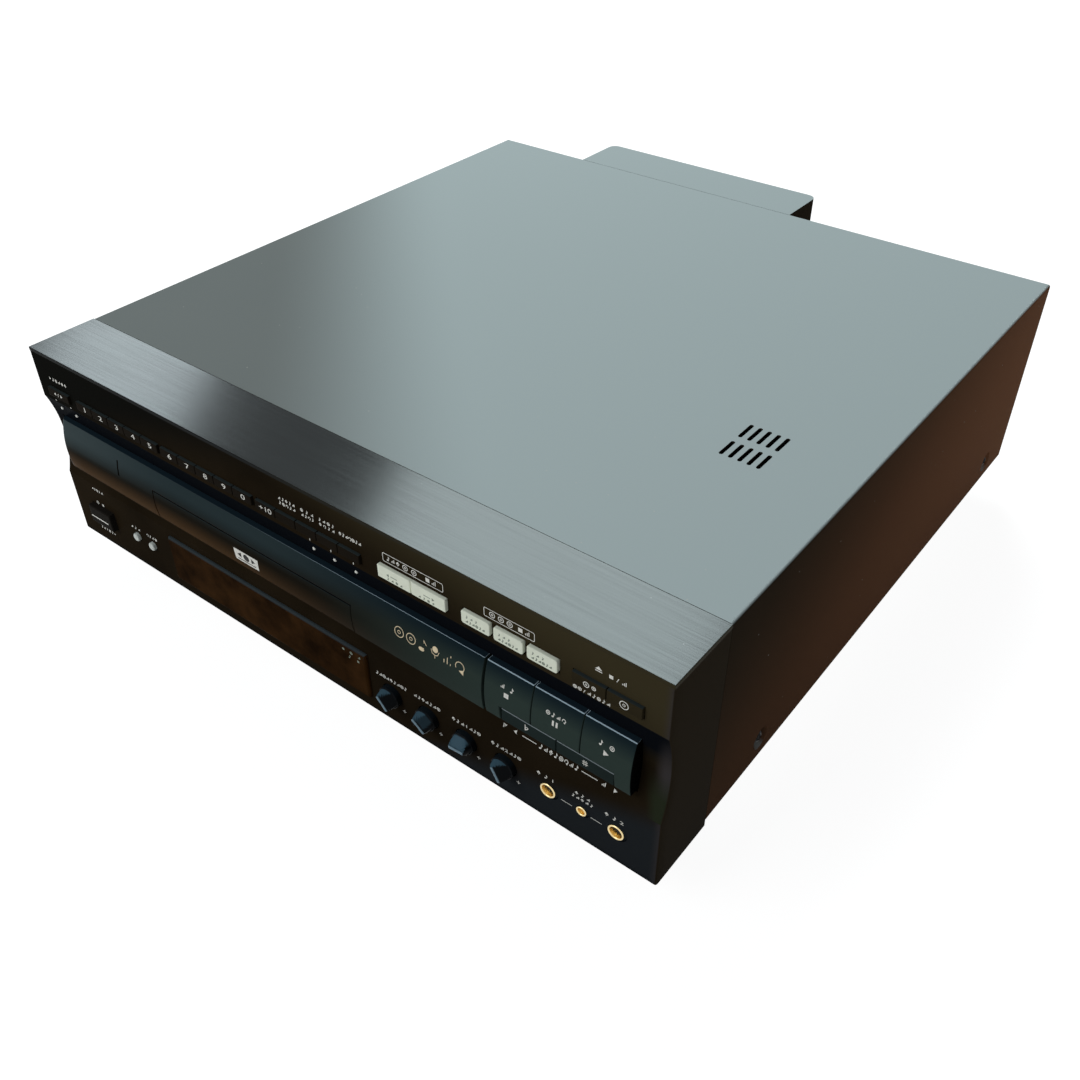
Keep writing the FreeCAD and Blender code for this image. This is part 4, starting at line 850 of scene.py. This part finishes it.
# ---- printed marks --------------------------------------------------------------------
# Screen-printed ink, pale on black and grey on the pale keys: numerals, transport and
# pitch symbols, ticks, and plain pictograms that say what each control does.
ink = finish("pale_ink", (0.78, 0.77, 0.72), 0.5, specular=0.2, mottle=0.12, patch=0.0015,
             grain=0.0003)
grey_ink = finish("grey_ink", (0.20, 0.24, 0.19), 0.5, specular=0.2, mottle=0.15, patch=0.0015)
amber_ink = finish("amber_ink", (0.80, 0.66, 0.44), 0.5, specular=0.2, mottle=0.12, patch=0.0015)


def line(x, drop, path, width=0.32, closed=False, scale=1.0):
    """Flat band along a path of (right, up) points from a centre: the path's points are
    moved out by half the width along the mean of the neighbouring normals."""
    path = np.asarray(path, float) * scale
    ahead, behind = np.roll(path, -1, 0) - path, path - np.roll(path, 1, 0)
    if not closed:
        ahead[-1], behind[0] = behind[-1], ahead[0]
    unit = [v / np.linalg.norm(v, axis=1, keepdims=True) for v in (ahead, behind)]
    normal = np.stack([-(unit[0] + unit[1])[:, 1], (unit[0] + unit[1])[:, 0]], -1)
    normal /= np.maximum((normal ** 2).sum(1, keepdims=True), 0.5) / 2
    left, right = path + normal * width / 2, path - normal * width / 2
    ring = np.stack([left, right, right, left, left], 1)
    if closed:
        ring = np.concatenate([ring, ring[:1]])
    else:
        ends = [np.repeat(ring[e:e + 1, :2].mean(1, keepdims=True), 5, 1)
                for e in (0, len(ring) - 1)]
        ring = np.concatenate([ends[0], ring, ends[1]])
    side = np.broadcast_to([0.0, 0.0, 1.0, 1.0, 0.0], ring.shape[:2]).copy()
    if not closed:
        side[0] = side[-1] = 0.5
    return np.stack([x + ring[..., 0], side, drop - ring[..., 1]], -1)


def patch(x, drop, outline, scale=1.0):
    """Flat filled shape: its outline joined to its middle in front and behind."""
    outline = np.asarray(list(outline) + list(outline[:1]), float) * scale
    middle = np.broadcast_to(outline[:-1].mean(0), outline.shape)
    rows = np.stack([middle, outline, outline, middle])
    side = np.broadcast_to(np.array([0.0, 0.0, 1.0, 1.0])[:, None], rows.shape[:2])
    return np.stack([x + rows[..., 0], side, drop - rows[..., 1]], -1)


def circle(radius, start=0, stop=360, steps=24):
    """Points on an arc about the centre, in degrees."""
    angle = np.radians(np.linspace(start, stop, steps + 1))
    points = np.stack([radius * np.cos(angle), radius * np.sin(angle)], -1)
    return points[:-1] if stop - start == 360 else points


def printed(name, body, marks, ground, material=ink, slot="key_pale"):
    """Marks laid on a surface: ground gives its distance behind the face at each place.
    Ink stands 0.03 mm out of it and its back lies just inside."""
    sheets = []
    for mark in marks:
        mark = mark.copy()
        mark[..., 1] = ground(mark[..., 0], mark[..., 2]) + mark[..., 1] * 0.08 - 0.03
        sheets.append(mark)
    return made(name, *joined(sheets), material, slot, body)


def numeral(name, body, words, x, drop, high, behind, widen=1.55):
    """Numeral in the plain built-in face, made a mesh, then moved to its place and scaled
    to its height."""
    curve = bpy.data.curves.new(name, "FONT")
    curve.body, curve.extrude = words, 0.01
    held = bpy.data.objects.new(name, curve)
    bpy.context.scene.collection.objects.link(held)
    bpy.context.view_layer.update()
    shaped = held.evaluated_get(bpy.context.evaluated_depsgraph_get())
    mesh = bpy.data.meshes.new_from_object(shaped)
    bpy.data.objects.remove(held)
    spots = np.zeros(len(mesh.vertices) * 3)
    mesh.vertices.foreach_get("co", spots)
    spots = spots.reshape(-1, 3)
    low, top = spots.min(0), spots.max(0)
    middle, scale = (low + top) / 2, high / (top[1] - low[1])
    spots = np.stack([x + (spots[:, 0] - middle[0]) * scale * widen,
                      np.where(spots[:, 2] > 0, behind - 0.03, behind + 0.05),
                      drop - (spots[:, 1] - middle[1]) * scale], -1)
    mesh.vertices.foreach_set("co", framed(spots).ravel())
    mesh.name = name
    mesh.materials.clear()
    mesh.materials.append(ink)
    thing = bpy.data.objects.new(name, mesh)
    bpy.context.scene.collection.objects.link(thing)
    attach(thing, body)


digit_drop, digit_high = 23.5, 3.0
for digit in range(10):
    first = row_slots[0 if 1 <= digit <= 5 else 1][0] + key_wide / 2
    numeral("digit_%d" % digit, "key_%d" % digit, str(digit),
            first + key_step * ((digit - 1) % 5) + 0.9, digit_drop, digit_high, -key_proud)
numeral("digit_plus_10", "key_plus_10", "+10", -19.4, digit_drop, digit_high, -key_proud, 1.35)


def level(behind):
    """Ground for marks on a flat face."""
    return lambda x, drop: np.full(np.shape(x), float(behind))


def disc_mark(x, drop, scale=1.0):
    """Ring with a small ring in its middle."""
    return [line(x, drop, circle(1.15), 0.38, True, scale),
            line(x, drop, circle(0.35, steps=12), 0.3, True, scale)]


def microphone(x, drop, scale=1.0):
    """Round head, tapered body and a cradle arc."""
    return [patch(x, drop, circle(0.7, steps=14) + (0, 0.7), scale),
            line(x, drop, [(-1.0, 0.5), (-0.7, -0.35), (0, -0.65), (0.7, -0.35), (1.0, 0.5)], 0.34,
                 False, scale),
            line(x, drop, [(0, -0.65), (0, -1.35)], 0.36, False, scale)]


def note_mark(x, drop, scale=1.0):
    """Round note head, stem and tail."""
    return [patch(x, drop, circle(0.6, steps=12) * (1.2, 0.8) + (-0.35, -0.95), scale),
            line(x, drop, [(0.2, -0.9), (0.2, 1.2), (0.9, 0.4)], 0.36, False, scale)]


def bars_mark(x, drop, scale=1.0):
    """Three level bars, each taller than the last."""
    return [line(x, drop, [(place, -1.0), (place, top)], 0.42, False, scale)
            for place, top in ((-0.8, -0.2), (0.0, 0.5), (0.8, 1.2))]


def around_mark(x, drop, scale=1.0):
    """Arc that nearly closes, with an arrow head."""
    return [line(x, drop, circle(1.05, -60, 210, 18), 0.36, False, scale),
            patch(x + 0.7 * scale, drop + 1.05 * scale, [(-0.9, 0.1), (0.25, 0.65), (0.2, -0.6)],
                  scale)]


def square_mark(x, drop, scale=1.0):
    """Filled square."""
    return [patch(x, drop, [(-1.0, -1.0), (1.0, -1.0), (1.0, 1.0), (-1.0, 1.0)], scale)]


def pointer_mark(x, drop, scale=1.0):
    """Filled triangle that points right, or left at a negative scale."""
    return [patch(x, drop, [(-0.8, -1.1), (1.1, 0), (-0.8, 1.1)], scale)]


def slash_mark(x, drop, scale=1.0):
    """Slanting divider."""
    return [line(x, drop, [(-0.5, -1.1), (0.5, 1.1)], 0.34, False, scale)]


def plus_mark(x, drop, scale=1.0):
    """Upright cross."""
    return [line(x, drop, way, 0.38, False, scale)
            for way in ([(-1.0, 0), (1.0, 0)], [(0, -1.0), (0, 1.0)])]


def dash(x0, x1, drop, width=0.32):
    """Level rule from one place to another."""
    return [line((x0 + x1) / 2, drop, [((x0 - x1) / 2, 0), ((x1 - x0) / 2, 0)], width)]


pictograms = {"d": disc_mark, "m": microphone, "n": note_mark, "b": bars_mark, "a": around_mark,
              "s": square_mark, "p": pointer_mark, "/": slash_mark, "+": plus_mark}


def row(x0, x1, drop, kinds, scale=0.75):
    """Pictograms spaced evenly from one place to another, one for each letter."""
    return [mark for x, kind in zip(np.linspace(x0, x1, len(kinds)), kinds)
            for mark in pictograms[kind](x, drop, scale)]


def frame_mark(left, right, upper, lower):
    """Outline box with cut corners, as drawn round a group of marks."""
    a, b, cut = (right - left) / 2, (lower - upper) / 2, 0.5
    path = [(-a + cut, -b), (a - cut, -b), (a, cut - b), (a, b - cut), (a - cut, b), (cut - a, b),
            (-a, b - cut), (-a, cut - b)]
    return [line((left + right) / 2, (upper + lower) / 2, path, 0.32, True)]


def on_bulge(x, drop):
    """Ground for marks on the bars."""
    return bulge(drop)


printed("side_mark", "key_ab", pointer_mark(-193.4, 23.4, -0.9) + slash_mark(-190.5, 23.4, 1.1)
        + pointer_mark(-187.6, 23.4, 0.9), level(-key_proud))
printed("small_disc_mark", "eject_key_small",
        disc_mark(170.9, 22.9, 1.15) + disc_mark(174.6, 22.9, 0.8), level(-key_proud))
printed("large_disc_mark", "eject_key_large", disc_mark(189.1, 22.9, 1.75), level(-key_proud))

sign_drop, label_drop = 55.5, 51.3
pause_bar = [(-0.5, -1.4), (0.5, -1.4), (0.5, 1.4), (-0.5, 1.4)]
printed("stop_mark", "stop_button",
        square_mark(129.6, sign_drop, 1.25) + row(127.2, 132.4, label_drop, "bn", 0.9), on_bulge)
printed("pause_mark", "pause_button", [patch(x, sign_drop, pause_bar) for x in (155.1, 157.1)]
        + row(152.0, 160.4, label_drop, "dnba", 0.8), on_bulge)
printed("play_mark", "play_button",
        pointer_mark(182.3, sign_drop, 1.35) + row(179.4, 184.9, label_drop, "nd", 0.9), on_bulge)
flat_sign = [line(140.2, 69.4, [(-0.7, 1.9), (-0.7, -1.4), (0.1, -0.85), (0.85, 0.05),
                                (0.55, 0.6), (-0.1, 0.6), (-0.6, 0.1)], 0.44)]
sharp_sign = [line(171.8 + u, 69.6, [(0, -1.6), (0, 1.6)], 0.38) for u in (-0.55, 0.55)]
sharp_sign += [line(171.8, 69.6 - v, [(-1.4, -0.2), (1.4, 0.2)], 0.44) for v in (-0.65, 0.65)]
printed("pitch_marks", "pitch_rocker", flat_sign + sharp_sign, level(-pitch_proud))
printed("power_line", "power_key", dash(-191.6, -175.2, 105.6, 0.8), level(-power_proud))

# Over and under the upper row: labels, two boxed groups, the eject sign and the dots.
marks = row(-196.6, -182.4, 15.2, "pndbsm")
for left, right, upper, lower in ((-8.8, 1.0, "bnmnb", "ndanb"), (6.6, 13.6, "dnb", "bnan"),
                                  (18.6, 27.2, "nbdn", "manb")):
    marks += row(left, right, 12.7, upper, 0.66) + row(left, right, 15.5, lower, 0.66)
marks += row(31.6, 44.2, 14.6, "mnbadnb", 0.72)
boxed_drop = 14.35
marks += frame_mark(58.5, 94.0, 12.0, 16.7) + row(61.8, 67.6, boxed_drop, "nbm", 0.85)
marks += row(72.0, 77.2, boxed_drop, "dd", 1.2) + row(85.2, 88.8, boxed_drop, "sb", 1.1)
marks += frame_mark(117.0, 143.7, 12.0, 16.7)
marks += row(121.4, 130.8, boxed_drop, "ddd", 1.2) + row(136.4, 140.0, boxed_drop, "sb", 1.1)
marks += [patch(175.6, 12.7, [(-1.7, -0.1), (1.7, -0.1), (0, 1.7)])] + dash(173.9, 177.3, 13.6, 0.5)
marks += row(181.6, 187.8, 13.2, "s/b", 0.95)
marks += row(164.4, 181.0, 29.0, "dd/bndnb", 0.7)
for x in (9.0, 23.2, 38.0):
    marks += dash(x - 0.25, x + 0.25, 29.0, 1.2)
marks += row(-197.6, -183.6, 29.6, "++", 0.5)

# Round the power key, the round keys, the knobs and the sockets.
marks += row(-187.6, -178.6, 86.2, "bndnb", 0.66) + row(-186.6, -181.4, 96.3, "ds", 0.85)
marks += row(-190.4, -177.6, 116.2, "nb/dnp", 0.66)
marks += row(-154.2, -147.8, 98.6, "bnb", 0.66) + row(-139.8, -132.2, 98.5, "anbd", 0.66)
marks += row(44.4, 63.4, 95.7, "nbdbmnbdn", 0.8) + row(70.0, 85.0, 95.6, "bnmbnbd", 0.8)
for x in knob_places[2:]:
    marks += row(x - 7.2, x - 1.6, 95.6, "mnb", 0.85) + row(x + 3.6, x + 8.4, 95.6, "bnd", 0.8)
for x in knob_places:
    marks += plus_mark(x + 7.6, 113.0, 1.1)
marks += row(145.4, 149.6, 97.0, "mn", 0.85) + row(182.8, 187.0, 97.0, "mn", 0.85)
marks += row(166.6, 173.0, 95.0, "mnb", 0.7) + row(164.8, 174.8, 97.8, "nbmbn", 0.66)
marks += dash(158.2, 164.2, 106.0) + dash(174.6, 180.6, 106.0)


def on_panel(x, drop):
    """Ground for marks on the panel and its cove."""
    return cove(drop)


printed("panel_marks", "chassis", marks, on_panel)
for name, places, drop in (("jack_digit_", (153.4, 190.8), 97.0),
                           ("knob_digit_", (102.6, 126.7), 95.6)):
    for number, x in zip("12", places):
        numeral(name + number, "chassis", number, x, drop, 2.0, 0.0)
scale_drop = 80.0
low_high = dash(135.5, 143.5, scale_drop, 0.36) + dash(168.2, 176.7, scale_drop, 0.36)
low_high += row(125.6, 131.6, scale_drop, "bp", -0.9) + row(180.0, 186.0, scale_drop, "bp", 0.9)
low_high += row(146.0, 165.6, scale_drop, "nbmndabn", 0.85)
printed("pitch_scale", "chassis", low_high, on_panel)

# The door's pale plate is seven bands, so that it follows the curve; its signs are dark.
badge = []
for step in range(7):
    badge += dash(-51.3 + 0.02 * step, -32.8 - 0.10 * step, 62.2 + 1.05 * step, 1.12)
printed("door_badge", "small_tray", badge, on_bulge)
badge_drop = 64.6
printed("door_badge_marks", "small_tray", [patch(-42.1, badge_drop, circle(2.2))]
        + pointer_mark(-47.2, badge_drop, -1.6) + pointer_mark(-37.0, badge_drop, 1.6)
        + dash(-49.0, -35.4, 67.6, 0.6), lambda x, drop: bulge(drop) - 0.03, screw_black,
        "key_black")
printed("bar_marks", "large_tray", row(66.0, 103.0, 54.3, "ddnmba", 2.4), on_bulge, amber_ink)
printed("window_marks", "chassis",
        row(23.5, 34.5, 90.4, "sdb", 0.7) + row(27.5, 33.5, 93.6, "ns", 0.7),
        level(-window_proud), grey_ink)
for name, (left, right, _, _) in zip(("pale_key_left", "pale_key_middle", "pale_key_right"),
                                     pale_slots):
    x = (left + right) / 2
    printed(name + "_mark", name, row(x - 4.6, x + 4.6, 24.3, "bnbdnb", 0.55)
            + row(x - 4.6, x + 0.6, 21.9, "nbn", 0.5), level(-key_proud), grey_ink)
arrow_drop, word_drop = 22.7, 24.8
printed("pale_rocker_mark", "pale_rocker",
        pointer_mark(62.0, arrow_drop, -0.8) + dash(63.6, 67.6, arrow_drop, 0.4)
        + row(62.0, 70.0, word_drop, "nbdb", 0.5) + dash(83.4, 87.4, arrow_drop, 0.4)
        + pointer_mark(89.0, arrow_drop, 0.8) + row(81.0, 89.0, word_drop, "bndb", 0.5),
        level(-key_proud), grey_ink)


# ---- indicator lamps ------------------------------------------------------------------
# Five milky plastic lenses, domed at the front and pushed from behind through the upper
# slope of the cove.
milky = finish("lamp_lens", (0.80, 0.80, 0.74), 0.3, specular=0.4, mottle=0.05, patch=0.002)
lenses = []
for x, drop in ((-196.3, 35.0), (-182.4, 35.0), (9.2, 35.3), (23.3, 35.3), (37.5, 35.3)):
    dome = [(radius, float(cove(drop)) + behind) for radius, behind in (
        (0.0, -0.75), (0.4, -0.68), (0.75, -0.45), (0.95, -0.1), (1.0, 0.4), (0.0, 0.4))]
    lenses.append(turned_ring(x, drop, dome, 20))
made("indicator_lenses", *joined(lenses), milky, "key_pale", "chassis")
